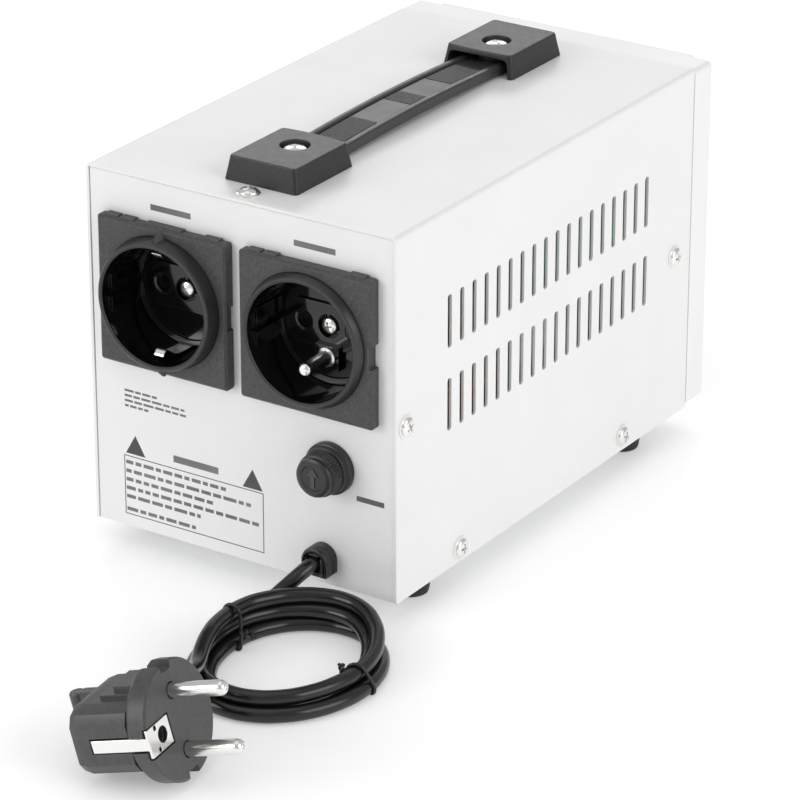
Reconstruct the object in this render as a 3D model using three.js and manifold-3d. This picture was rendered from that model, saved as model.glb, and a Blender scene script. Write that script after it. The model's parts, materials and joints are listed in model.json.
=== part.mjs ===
// Servo-driven variac voltage stabiliser: sheet-metal case, two mains sockets,
// fuse holder, corded plug, and a toroidal autotransformer with a motor-driven brush.
// Millimetres, +Z up. The origin is on the floor under the middle of the case.
// The bezel with the meter faces -Y and the socket panel faces +Y.
import * as THREE from 'three';
import { mergeVertices } from 'three/addons/utils/BufferGeometryUtils.js';
import Module from 'manifold-3d';

const wasm = await Module();
wasm.setup();

// ---- driving dimensions ----
const GAP = 0.3;
const FOOT_H = 8;
const CASE_W = 118;
const COVER_H = 124.5;
const COVER_D = 183;
const SHEET = 1;
const BEND_R = 1.6;
const BEZEL_D = 11.2;
const PLATE_PROUD = 3;
const BUTTON_PROUD = 6;
const FUSE_PROUD = 10.4;

const TOP_Z = FOOT_H + COVER_H;
const HALF_W = CASE_W / 2;
const REAR_Y = (COVER_D + BEZEL_D + PLATE_PROUD + BUTTON_PROUD - FUSE_PROUD) / 2;
const JOINT_Y = REAR_Y - COVER_D;
const BEZEL_Y = JOINT_Y - BEZEL_D;
const PLATE_Y = BEZEL_Y - PLATE_PROUD;
const PANEL_Y = REAR_Y - 0.4;
const PANEL_IN_Y = PANEL_Y - SHEET;
const INNER_X = HALF_W - SHEET - GAP;
const INNER_TOP = TOP_Z - SHEET - GAP;

// sockets: 50 mm modules with a 39.4 mm plug recess
const SOCKET_X = 27.45;
const SOCKET_Z = FOOT_H + 84.7;
const SOCKET_PLATE = 50;
const SOCKET_BODY = 45;
const SOCKET_PROUD = 4;
const COLLAR_R = 21.75;
const RECESS_R = 19.7;
const RECESS_FLOOR_Y = REAR_Y - 10.5;
const SOCKET_BACK_Y = REAR_Y - 32;
const PIN_PITCH = 19;
const PIN_R = 2.4;
const EARTH_OFFSET = 10;
const LEFT_COLLAR_PROUD = 9;
const RIGHT_COLLAR_PROUD = 7;

// fuse holder and cord bushing
const FUSE_X = -34.3;
const FUSE_Z = FOOT_H + 41.5;
const BUSH_X = -31.2;
const BUSH_Z = FOOT_H + 9.4;
const CORD_R = 2.5;

// handle
const HANDLE_Y = REAR_Y - COVER_D / 2;
const HANDLE_HALF = 63.4;
const CAP_BASE = [28, 32];
const CAP_TOP = [25, 29.4];
const CAP_H = 8.2;
const CAP_ROOM = 6.5;
const HANDLE_SCREW = HANDLE_HALF - 3.5;
const STRAP_W = 17;
const STRAP_T = 4;

// vents
const VENT_COLUMNS = 18;
const VENT_PITCH = 7.18;
const VENT_FIRST_Y = REAR_Y - 30.5;
const VENT_ROWS_Z = [FOOT_H + 57.9, FOOT_H + 86.4];
const VENT_H = 18;
const VENT_W = 2.4;

// variac
const VARIAC_Y = 10;
const WINDING_R = 48;
const WINDING_HOLE_R = 22;
const WINDING_Z = [12.3, 56.3];
const WINDING_WALL = 1.6;
const WINDING_GAP_DEG = 30;
const GEAR_MODULE = 1;
const GEAR_TEETH = 36;
const PINION_TEETH = 12;
const GEAR_Z = [66.4, 70.4];
const MOTOR_X = (GEAR_TEETH + PINION_TEETH) * GEAR_MODULE / 2;
const BRACKET_Z = 73;

const ROUND = 24;
const SMALL_ROUND = 12;

// ---- solid helpers ----
function solid(geometry) {
  const bare = geometry.clone();
  bare.deleteAttribute('normal');
  bare.deleteAttribute('uv');
  const merged = mergeVertices(bare, 1e-4);
  const mesh = new wasm.Mesh({
    numProp: 3,
    vertProperties: new Float32Array(merged.attributes.position.array),
    triVerts: new Uint32Array(merged.index.array),
  });
  return new wasm.Manifold(mesh);
}

function toGeometry(body) {
  const mesh = body.getMesh();
  const geometry = new THREE.BufferGeometry();
  geometry.setAttribute('position', new THREE.BufferAttribute(mesh.vertProperties, 3));
  geometry.setIndex(new THREE.BufferAttribute(mesh.triVerts, 1));
  geometry.computeVertexNormals();
  return geometry;
}

function cut(base, ...tools) {
  return tools.reduce((left, tool) => left.subtract(tool), base);
}

function join(...bodies) {
  return bodies.reduce((sum, body) => sum.add(body));
}

// box from its low and high corners
function block(x0, x1, y0, y1, z0, z1) {
  const geometry = new THREE.BoxGeometry(x1 - x0, y1 - y0, z1 - z0);
  geometry.translate((x0 + x1) / 2, (y0 + y1) / 2, (z0 + z1) / 2);
  return solid(geometry);
}

// extrude an outline of [x, z] points from y0 to y1
function alongY(points, y0, y1) {
  const shape = new THREE.Shape(points.map(([x, z]) => new THREE.Vector2(x, z)));
  const geometry = new THREE.ExtrudeGeometry(shape, { depth: y1 - y0, bevelEnabled: false });
  geometry.rotateX(Math.PI / 2);
  geometry.translate(0, y1, 0);
  return solid(geometry);
}

// extrude an outline of [x, y] points from z0 to z1
function alongZ(points, z0, z1) {
  const shape = new THREE.Shape(points.map(([x, y]) => new THREE.Vector2(x, y)));
  const geometry = new THREE.ExtrudeGeometry(shape, { depth: z1 - z0, bevelEnabled: false });
  geometry.translate(0, 0, z0);
  return solid(geometry);
}

// extrude an outline of [y, z] points from x0 to x1
function alongX(points, x0, x1) {
  const shape = new THREE.Shape(points.map(([y, z]) => new THREE.Vector2(y, z)));
  const geometry = new THREE.ExtrudeGeometry(shape, { depth: x1 - x0, bevelEnabled: false });
  const cycle = new THREE.Matrix4().makeBasis(
    new THREE.Vector3(0, 1, 0), new THREE.Vector3(0, 0, 1), new THREE.Vector3(1, 0, 0));
  geometry.applyMatrix4(cycle);
  geometry.translate(x0, 0, 0);
  return solid(geometry);
}

// turned piece about the Y axis through (x, z); the profile is [radius, y]
function turnedY(profile, x, z, sides = ROUND) {
  const geometry = new THREE.LatheGeometry(profile.map(([r, y]) => new THREE.Vector2(r, y)), sides);
  geometry.translate(x, 0, z);
  return solid(geometry);
}

// turned piece about the Z axis through (x, y); the profile is [radius, z]
function turnedZ(profile, x, y, sides = ROUND) {
  const geometry = new THREE.LatheGeometry(profile.map(([r, z]) => new THREE.Vector2(r, z)), sides);
  geometry.rotateX(Math.PI / 2);
  geometry.translate(x, y, 0);
  return solid(geometry);
}

function rodY(r, y0, y1, x, z, sides = SMALL_ROUND) {
  return turnedY([[0, y0], [r, y0], [r, y1], [0, y1]], x, z, sides);
}

function rodZ(r, z0, z1, x, y, sides = SMALL_ROUND) {
  return turnedZ([[0, z0], [r, z0], [r, z1], [0, z1]], x, y, sides);
}

function rodX(r, x0, x1, y, z, sides = SMALL_ROUND) {
  const geometry = new THREE.CylinderGeometry(r, r, x1 - x0, sides);
  geometry.rotateZ(-Math.PI / 2);
  geometry.translate((x0 + x1) / 2, y, z);
  return solid(geometry);
}

// outline of a rectangle with rounded corners
function roundedRect(cx, cy, w, h, r, steps = 3) {
  const points = [];
  const corners = [[1, 1, 0], [-1, 1, 90], [-1, -1, 180], [1, -1, 270]];
  for (const [sx, sy, start] of corners) {
    for (let i = 0; i <= steps; i += 1) {
      const angle = THREE.MathUtils.degToRad(start + 90 * i / steps);
      points.push([
        cx + sx * (w / 2 - r) + r * Math.cos(angle),
        cy + sy * (h / 2 - r) + r * Math.sin(angle),
      ]);
    }
  }
  return points;
}

// ---- model list ----
const group = new THREE.Group();
const finishes = {
  white: { color: 0xf1f1ee, roughness: 0.45, metalness: 0 },
  black: { color: 0x1b1b1c, roughness: 0.5, metalness: 0 },
  gloss: { color: 0x0c0c0d, roughness: 0.15, metalness: 0 },
  rubber: { color: 0x161616, roughness: 0.8, metalness: 0 },
  zinc: { color: 0xc9ccd0, roughness: 0.3, metalness: 1 },
  nickel: { color: 0xd7d5cf, roughness: 0.2, metalness: 1 },
  copper: { color: 0xb4622f, roughness: 0.35, metalness: 1 },
  iron: { color: 0x55585c, roughness: 0.5, metalness: 1 },
  carbon: { color: 0x2a2a2c, roughness: 0.7, metalness: 0 },
  glass: { color: 0xdfe7ea, roughness: 0.05, metalness: 0 },
  card: { color: 0xf4f2e8, roughness: 0.8, metalness: 0 },
  board: { color: 0x9a8a52, roughness: 0.6, metalness: 0 },
  red: { color: 0xb3201a, roughness: 0.3, metalness: 0 },
  green: { color: 0x2f9a44, roughness: 0.3, metalness: 0 },
  nylon: { color: 0xe9e6dc, roughness: 0.5, metalness: 0 },
};

function place(name, body, finish) {
  const geometry = body instanceof THREE.BufferGeometry ? body : toGeometry(body);
  const mesh = new THREE.Mesh(geometry, new THREE.MeshStandardMaterial(finishes[finish]));
  mesh.name = name;
  group.add(mesh);
  return mesh;
}

// ---- case screws: [side, y, z] ----
const SIDE_SCREWS = [
  ['upper_rear', REAR_Y - 5.3, FOOT_H + 59.7],
  ['lower_rear', REAR_Y - 37.2, FOOT_H + 5],
  ['lower_front', REAR_Y - 139.5, FOOT_H + 5.5],
  ['upper_front', REAR_Y - 172.2, FOOT_H + 60.1],
];
const TOP_SCREW_Y = REAR_Y - 6;
const SCREW_HOLE_R = 1.9;
const SCREW_SHANK_R = 1.5;
const SCREW_HEAD_R = 3.9;
const SCREW_HEAD_H = 2;

function screwProfile(seat, length) {
  return [
    [0, seat - length], [SCREW_SHANK_R, seat - length], [SCREW_SHANK_R, seat], [SCREW_HEAD_R, seat],
    [SCREW_HEAD_R, seat + SCREW_HEAD_H * 0.45], [SCREW_HEAD_R * 0.62, seat + SCREW_HEAD_H],
    [0, seat + SCREW_HEAD_H],
  ];
}

function makeCaseScrews() {
  const seat = HALF_W + 0.1;
  for (const side of [-1, 1]) {
    const sideName = side < 0 ? 'right' : 'left';
    for (const [where, y, z] of SIDE_SCREWS) {
      const profile = screwProfile(seat, 6).map(([r, h]) => new THREE.Vector2(r, h));
      const geometry = new THREE.LatheGeometry(profile, SMALL_ROUND);
      geometry.rotateZ(-Math.PI / 2 * side);
      geometry.translate(0, y, z);
      place(`case_screw_${sideName}_${where}`, geometry, 'nickel');
    }
  }
  place('case_screw_top', turnedZ(screwProfile(TOP_Z + 0.1, 6), 0, TOP_SCREW_Y, SMALL_ROUND), 'nickel');
}

// ---- top cover: one sheet bent over the top and both sides ----
const HANDLE_HOLE_R = 2.4;

function slotOutline(y, z) {
  const w = VENT_W / 2;
  const h = VENT_H / 2;
  const c = w * 0.6;
  return [
    [y - c, z - h], [y + c, z - h], [y + w, z - h + c], [y + w, z + h - c],
    [y + c, z + h], [y - c, z + h], [y - w, z + h - c], [y - w, z - h + c],
  ];
}

function makeTopCover() {
  const outer = [[HALF_W, FOOT_H]];
  const inner = [[HALF_W - SHEET, FOOT_H]];
  for (const side of [1, -1]) {
    for (let i = 0; i <= 3; i += 1) {
      const turn = THREE.MathUtils.degToRad(side > 0 ? 30 * i : 90 - 30 * i);
      outer.push([
        side * (HALF_W - BEND_R + BEND_R * Math.cos(turn)),
        TOP_Z - BEND_R + BEND_R * Math.sin(turn),
      ]);
    }
    inner.push([side * (HALF_W - SHEET), TOP_Z - SHEET]);
  }
  outer.push([-HALF_W, FOOT_H]);
  inner.push([-HALF_W + SHEET, FOOT_H]);
  let cover = alongY([...outer, ...inner.reverse()], JOINT_Y, REAR_Y);
  for (let i = 0; i < VENT_COLUMNS; i += 1) {
    for (const z of VENT_ROWS_Z) {
      const slot = slotOutline(VENT_FIRST_Y - i * VENT_PITCH, z);
      cover = cover.subtract(alongX(slot, -HALF_W - 1, HALF_W + 1));
    }
  }
  for (const [, y, z] of SIDE_SCREWS) {
    cover = cover.subtract(rodX(SCREW_HOLE_R, -HALF_W - 1, HALF_W + 1, y, z, 8));
  }
  cover = cover.subtract(rodZ(SCREW_HOLE_R, TOP_Z - 3, TOP_Z + 1, 0, TOP_SCREW_Y, 8));
  for (const end of [-1, 1]) {
    cover = cover.subtract(rodZ(HANDLE_HOLE_R, TOP_Z - 3, TOP_Z + 1, 0, HANDLE_Y + end * HANDLE_SCREW, 8));
  }
  place('top_cover', cover, 'white');
}

// ---- chassis sheets ----
const BASE_FLANGE_H = 14;
const SKIRT_D = 16;
const REAR_FLANGE_D = 12;
const SOCKET_HOLE = 46;
const FUSE_HOLE_R = 6.4;
const BUSH_HOLE_R = 5;

function makeBasePan() {
  const back = PANEL_IN_Y - GAP;
  let pan = block(-INNER_X, INNER_X, JOINT_Y + GAP, back, FOOT_H, FOOT_H + SHEET);
  for (const side of [-1, 1]) {
    const x0 = side < 0 ? -INNER_X : INNER_X - SHEET;
    const front = JOINT_Y + SKIRT_D + GAP;
    const flange = block(x0, x0 + SHEET, front, back, FOOT_H, FOOT_H + SHEET + BASE_FLANGE_H);
    pan = pan.add(flange);
  }
  for (const [, y, z] of SIDE_SCREWS.slice(1, 3)) {
    pan = pan.subtract(rodX(SCREW_HOLE_R, -HALF_W, HALF_W, y, z, 8));
  }
  place('base_pan', pan, 'zinc');
}

function makeRearPanel() {
  let panel = block(-INNER_X, INNER_X, PANEL_IN_Y, PANEL_Y, FOOT_H, INNER_TOP);
  const flangeY = PANEL_IN_Y - REAR_FLANGE_D;
  const flangeZ = FOOT_H + SHEET + BASE_FLANGE_H + GAP;
  for (const side of [-1, 1]) {
    const x0 = side < 0 ? -INNER_X : INNER_X - SHEET;
    panel = panel.add(block(x0, x0 + SHEET, flangeY, PANEL_Y, flangeZ, INNER_TOP - 3));
  }
  panel = panel.add(block(-INNER_X + 3, INNER_X - 3, flangeY, PANEL_Y, INNER_TOP - SHEET, INNER_TOP));
  for (const side of [-1, 1]) {
    const hole = roundedRect(side * SOCKET_X, SOCKET_Z, SOCKET_HOLE, SOCKET_HOLE, 3.5, 2);
    panel = panel.subtract(alongY(hole, PANEL_IN_Y - 1, PANEL_Y + 1));
  }
  const [, screwY, screwZ] = SIDE_SCREWS[0];
  panel = cut(
    panel,
    rodY(FUSE_HOLE_R, PANEL_IN_Y - 1, PANEL_Y + 1, FUSE_X, FUSE_Z),
    rodY(BUSH_HOLE_R, PANEL_IN_Y - 1, PANEL_Y + 1, BUSH_X, BUSH_Z),
    rodX(SCREW_HOLE_R, -HALF_W, HALF_W, screwY, screwZ, 8),
    rodZ(SCREW_HOLE_R, INNER_TOP - 3, INNER_TOP + 1, 0, TOP_SCREW_Y, 8),
  );
  place('rear_panel', panel, 'white');
}

// ---- front bezel: one moulding with a proud plate and a rear skirt ----
const METER_Z = FOOT_H + 86;
const METER_HOLE = [60.8, 36.8];
const SWITCH_X = -26;
const SWITCH_Z = FOOT_H + 28;
const SWITCH_HOLE = [19.8, 28.6];
const BUTTON_X = 26;
const BUTTON_Z = FOOT_H + 28;
const BUTTON_R = 5;
const LAMP_X = 22;
const LAMP_Z = FOOT_H + 56;
const LAMP_R = 3;

function makeBezel() {
  const wall = 2.2;
  const midZ = FOOT_H + COVER_H / 2;
  const width = CASE_W + 0.6;
  const height = COVER_H - 0.8;
  const back = JOINT_Y - 0.2;
  const shell = alongY(roundedRect(0, midZ, width, height, 2), BEZEL_Y, back);
  const inner = roundedRect(0, midZ, width - 2 * wall, height - 2 * wall, 1);
  const hollow = alongY(inner, BEZEL_Y + wall, back + 1);
  const plate = alongY(roundedRect(0, midZ + 2.6, width - 16, height - 6, 2), PLATE_Y, BEZEL_Y + wall);
  const skirtW = 2 * INNER_X;
  const skirtZ0 = FOOT_H + SHEET + GAP;
  const skirtH = INNER_TOP - skirtZ0;
  const skirtMid = skirtZ0 + skirtH / 2;
  const skirt = cut(
    alongY(roundedRect(0, skirtMid, skirtW, skirtH, 1), BEZEL_Y + wall, JOINT_Y + SKIRT_D),
    alongY(roundedRect(0, skirtMid, skirtW - 3.6, skirtH - 3.6, 1), BEZEL_Y, JOINT_Y + SKIRT_D + 1),
  );
  const [, screwY, screwZ] = SIDE_SCREWS[3];
  const front = PLATE_Y - 1;
  const behind = BEZEL_Y + wall + 1;
  const bezel = cut(
    join(shell.subtract(hollow), plate, skirt),
    alongY(roundedRect(0, METER_Z, ...METER_HOLE, 1, 1), front, behind),
    alongY(roundedRect(SWITCH_X, SWITCH_Z, ...SWITCH_HOLE, 1, 1), front, behind),
    rodY(BUTTON_R + GAP, front, behind, BUTTON_X, BUTTON_Z, 16),
    rodY(LAMP_R + GAP, front, behind, -LAMP_X, LAMP_Z),
    rodY(LAMP_R + GAP, front, behind, LAMP_X, LAMP_Z),
    rodX(SCREW_HOLE_R, -HALF_W, HALF_W, screwY, screwZ, 8),
  );
  place('front_bezel', bezel, 'white');
}

// ---- voltmeter ----
const METER_FLANGE = [66, 42];
const METER_WINDOW = [56, 31];
const METER_FLANGE_T = 1.6;
const METER_ROOM = 8;
const NEEDLE_PIVOT_Z = METER_Z - 11;
const NEEDLE_LENGTH = 21;

function makeMeter() {
  const face = PLATE_Y - METER_FLANGE_T - 0.1;
  const caseBody = cut(
    join(
      alongY(roundedRect(0, METER_Z, ...METER_FLANGE, 2), face, PLATE_Y - 0.1),
      alongY(roundedRect(0, METER_Z, METER_HOLE[0] - 0.6, METER_HOLE[1] - 0.6, 1, 1), PLATE_Y - 0.2, PLATE_Y + 22),
    ),
    alongY(roundedRect(0, METER_Z, ...METER_WINDOW, 1, 1), face - 1, face + METER_ROOM),
  );
  place('meter_case', caseBody, 'black');
  const [w, h] = METER_WINDOW;
  const dialY = face + METER_ROOM - 0.9;
  const dial = cut(
    alongY(roundedRect(0, METER_Z, w - 0.6, h - 0.6, 1, 1), dialY, dialY + 0.6),
    rodY(1.08, dialY - 1, dialY + 2, 0, NEEDLE_PIVOT_Z),
  );
  place('meter_dial', dial, 'card');
  const window = alongY(roundedRect(0, METER_Z, w - 0.6, h - 0.6, 1, 1), face + 0.2, face + 1.4);
  place('meter_window', window, 'glass');
  const needleY = face + 4;
  const blade = [[-0.5, -4], [0.5, -4], [0.25, NEEDLE_LENGTH], [-0.25, NEEDLE_LENGTH]];
  const turn = THREE.MathUtils.degToRad(45);
  const tilted = blade.map(([x, z]) => [
    x * Math.cos(turn) - z * Math.sin(turn),
    NEEDLE_PIVOT_Z + x * Math.sin(turn) + z * Math.cos(turn),
  ]);
  const needle = join(
    alongY(tilted, needleY, needleY + 0.5),
    rodY(2, needleY - 0.8, needleY + 1, 0, NEEDLE_PIVOT_Z),
    rodY(1, needleY + 0.5, dialY + 0.4, 0, NEEDLE_PIVOT_Z),
  );
  place('meter_needle', needle, 'red');
}

// ---- power rocker, delay button and lamps ----
const ROCKER_AXIS_Y = PLATE_Y + 3;
const ROCKER_TILT = THREE.MathUtils.degToRad(10);

function makeFrontControls() {
  const face = PLATE_Y - 1.8;
  const [holeW, holeH] = SWITCH_HOLE;
  const switchBody = cut(
    join(
      alongY(roundedRect(SWITCH_X, SWITCH_Z, holeW + 3.4, holeH + 3.4, 1.2), face, PLATE_Y - 0.1),
      alongY(roundedRect(SWITCH_X, SWITCH_Z, holeW - 0.6, holeH - 0.6, 0.8, 1), PLATE_Y - 0.2, PLATE_Y + 20),
    ),
    block(SWITCH_X - 7.6, SWITCH_X + 7.6, face - 1, PLATE_Y + 12, SWITCH_Z - 11.8, SWITCH_Z + 11.8),
  );
  place('power_switch_body', switchBody, 'black');
  // rocker: a shallow wedge pair turning about an X axis
  const profile = [[4, -2.2], [4, 2.2], [-3.2, 10.8], [-6.2, 10.4], [-4.6, 0], [-6.2, -10.4], [-3.2, -10.8]];
  const tilted = profile.map(([y, z]) => [
    ROCKER_AXIS_Y + y * Math.cos(ROCKER_TILT) - z * Math.sin(ROCKER_TILT),
    SWITCH_Z + y * Math.sin(ROCKER_TILT) + z * Math.cos(ROCKER_TILT),
  ]);
  place('power_rocker', alongX(tilted, SWITCH_X - 7.2, SWITCH_X + 7.2), 'red');
  const tip = PLATE_Y - BUTTON_PROUD;
  const button = turnedY([
    [0, tip], [BUTTON_R - 1, tip], [BUTTON_R, tip + 0.8], [BUTTON_R, PLATE_Y + 6],
    [2, PLATE_Y + 6], [2, PLATE_Y + 12], [0, PLATE_Y + 12],
  ], BUTTON_X, BUTTON_Z, 16);
  place('delay_button', button, 'black');
  const lamp = [
    [0, PLATE_Y - 2.6], [1.6, PLATE_Y - 2.3], [LAMP_R - 0.3, PLATE_Y - 0.8], [LAMP_R - 0.1, PLATE_Y],
    [LAMP_R - 0.1, PLATE_Y + 8], [0, PLATE_Y + 8],
  ];
  place('lamp_normal', turnedY(lamp, -LAMP_X, LAMP_Z, SMALL_ROUND), 'green');
  place('lamp_fault', turnedY(lamp, LAMP_X, LAMP_Z, SMALL_ROUND), 'red');
}

// ---- mains sockets ----
function makeSocket(side, collarProud, name) {
  const x = side * SOCKET_X;
  const plateBack = PANEL_Y + 0.05;
  const plateFront = REAR_Y + SOCKET_PROUD;
  const rim = plateFront - 1;
  const backDepth = SOCKET_BACK_Y;
  let socket = join(
    alongY(roundedRect(x, SOCKET_Z, SOCKET_PLATE, SOCKET_PLATE, 0.8, 1), plateBack, rim),
    alongY(roundedRect(x, SOCKET_Z, SOCKET_PLATE - 1.2, SOCKET_PLATE - 1.2, 0.8, 1), plateBack, plateFront),
    alongY(roundedRect(x, SOCKET_Z, SOCKET_BODY, SOCKET_BODY, 3, 2), backDepth, plateBack + 0.5),
    rodY(COLLAR_R, plateBack, REAR_Y + collarProud, x, SOCKET_Z, 32),
  );
  socket = socket.subtract(rodY(RECESS_R, RECESS_FLOOR_Y, REAR_Y + collarProud + 1, x, SOCKET_Z, 32));
  for (const pin of [-1, 1]) {
    const hole = rodY(PIN_R + 0.4, RECESS_FLOOR_Y - 15, RECESS_FLOOR_Y + 1, x + pin * PIN_PITCH / 2, SOCKET_Z);
    socket = socket.subtract(hole);
  }
  socket = cut(
    socket,
    rodY(4.2, RECESS_FLOOR_Y - 2, RECESS_FLOOR_Y + 1, x, SOCKET_Z),
    rodY(1.8, RECESS_FLOOR_Y - 12, RECESS_FLOOR_Y, x, SOCKET_Z, 8),
  );
  const head = RECESS_FLOOR_Y - 1.9;
  const screw = turnedY([
    [0, head - 9], [1.5, head - 9], [1.5, head], [3.2, head], [3.2, head + 1.6], [2.2, head + 2.4], [0, head + 2.4],
  ], x, SOCKET_Z, SMALL_ROUND);
  place(`${name}_screw`, screw, 'nickel');
  return socket;
}

function makeSockets() {
  const slotDepth = 5;
  const clipBack = RECESS_FLOOR_Y - slotDepth + GAP;
  const clipFront = REAR_Y + 5;
  let left = makeSocket(1, LEFT_COLLAR_PROUD, 'left_socket');
  const x = SOCKET_X;
  for (const up of [-1, 1]) {
    const wallZ = SOCKET_Z + up * (RECESS_R - 1.2);
    const low = Math.min(wallZ, wallZ - up * 0.8);
    const high = Math.max(wallZ, wallZ - up * 0.8);
    const slot = block(x - 3.6, x + 3.6, RECESS_FLOOR_Y - slotDepth, RECESS_FLOOR_Y + 0.5, low - GAP, high + GAP);
    left = left.subtract(slot);
    const strip = block(x - 3, x + 3, clipBack, clipFront, low, high);
    const tipLow = up > 0 ? low - 2.2 : high;
    const tip = block(x - 3, x + 3, clipFront - 3, clipFront, tipLow, tipLow + 2.2);
    const name = up > 0 ? 'left_socket_earth_clip_top' : 'left_socket_earth_clip_bottom';
    place(name, strip.add(tip), 'nickel');
  }
  place('left_socket', left, 'gloss');
  let right = makeSocket(-1, RIGHT_COLLAR_PROUD, 'right_socket');
  const earthZ = SOCKET_Z - EARTH_OFFSET;
  right = right.subtract(rodY(PIN_R + GAP, RECESS_FLOOR_Y - 8, RECESS_FLOOR_Y + 1, -SOCKET_X, earthZ));
  place('right_socket', right, 'gloss');
  const tipY = REAR_Y + 5;
  const earth = turnedY([
    [0, RECESS_FLOOR_Y - 7.5], [PIN_R, RECESS_FLOOR_Y - 7.5], [PIN_R, tipY - 2], [1.6, tipY - 0.6], [0, tipY],
  ], -SOCKET_X, earthZ, SMALL_ROUND);
  place('right_socket_earth_pin', earth, 'nickel');
}

// ---- fuse holder ----
function makeFuseHolder() {
  const ringY = REAR_Y + 3.8;
  const bore = 4.6;
  const body = cut(
    turnedY([
      [0, REAR_Y - 31], [5.2, REAR_Y - 31], [6, REAR_Y - 24], [6, PANEL_Y + 0.05], [9.3, PANEL_Y + 0.05],
      [9.3, REAR_Y + 2], [8.9, REAR_Y + 2.4], [8.3, REAR_Y + 2.4], [8.3, ringY], [0, ringY],
    ], FUSE_X, FUSE_Z),
    rodY(bore, REAR_Y - 28, ringY + 1, FUSE_X, FUSE_Z),
  );
  place('fuse_holder_body', body, 'black');
  const nut = cut(
    rodY(10, PANEL_IN_Y - 4.3, PANEL_IN_Y - 0.1, FUSE_X, FUSE_Z, 6),
    rodY(6 + GAP, PANEL_IN_Y - 5, PANEL_IN_Y + 1, FUSE_X, FUSE_Z),
  );
  place('fuse_holder_nut', nut, 'black');
  const capBack = ringY + GAP;
  const end = REAR_Y + FUSE_PROUD;
  const cap = turnedY([
    [0, REAR_Y - 3], [4.2, REAR_Y - 3], [4.2, capBack], [7.65, capBack], [7.4, REAR_Y + 7.6],
    [6.5, REAR_Y + 7.9], [6.2, end - 1], [5.2, end - 0.2], [0, end],
  ], FUSE_X, FUSE_Z);
  place('fuse_cap', cap, 'black');
  const link = turnedY([
    [0, REAR_Y - 23.4], [3, REAR_Y - 23.4], [3, REAR_Y - 18.4], [2.6, REAR_Y - 18.4],
    [2.6, REAR_Y - 8.4], [3, REAR_Y - 8.4], [3, REAR_Y - 3.4], [0, REAR_Y - 3.4],
  ], FUSE_X, FUSE_Z, SMALL_ROUND);
  place('glass_fuse', link, 'glass');
}

// ---- cord bushing: D-shaped head, shank and bore ----
const BUSH_HALF = 5.6;
const BUSH_PROUD = 6;

function makeCordBushing() {
  const outline = [[-BUSH_HALF + 1.5, -BUSH_HALF], [BUSH_HALF - 1.5, -BUSH_HALF], [BUSH_HALF, -BUSH_HALF + 1.5]];
  for (let i = 0; i <= 8; i += 1) {
    const angle = Math.PI * i / 8;
    outline.push([BUSH_HALF * Math.cos(angle), BUSH_HALF * Math.sin(angle)]);
  }
  outline.push([-BUSH_HALF, -BUSH_HALF + 1.5]);
  const head = outline.map(([x, z]) => [BUSH_X + x, BUSH_Z + z]);
  const bushing = cut(
    join(
      alongY(head, PANEL_Y + 0.05, REAR_Y + BUSH_PROUD),
      rodY(BUSH_HOLE_R - GAP, PANEL_IN_Y - 8, PANEL_Y + 0.5, BUSH_X, BUSH_Z),
    ),
    rodY(CORD_R + 0.4, PANEL_IN_Y - 9, REAR_Y + BUSH_PROUD + 1, BUSH_X, BUSH_Z),
  );
  place('cord_bushing', bushing, 'black');
}

// ---- handle ----
function frustum(cx, cy, z0, z1, [bw, bl], [tw, tl]) {
  const vertices = [];
  for (const [w, l, z] of [[bw, bl, z0], [tw, tl, z1]]) {
    for (const [sx, sy] of [[-1, -1], [1, -1], [1, 1], [-1, 1]]) {
      vertices.push(cx + sx * w / 2, cy + sy * l / 2, z);
    }
  }
  const geometry = new THREE.BufferGeometry();
  geometry.setAttribute('position', new THREE.BufferAttribute(new Float32Array(vertices), 3));
  const faces = [0, 2, 1, 0, 3, 2, 4, 5, 6, 4, 6, 7];
  for (let i = 0; i < 4; i += 1) {
    const j = (i + 1) % 4;
    faces.push(i, j, j + 4, i, j + 4, i + 4);
  }
  geometry.setIndex(faces);
  return solid(geometry);
}

const BOSS_R = 6.3;

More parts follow.
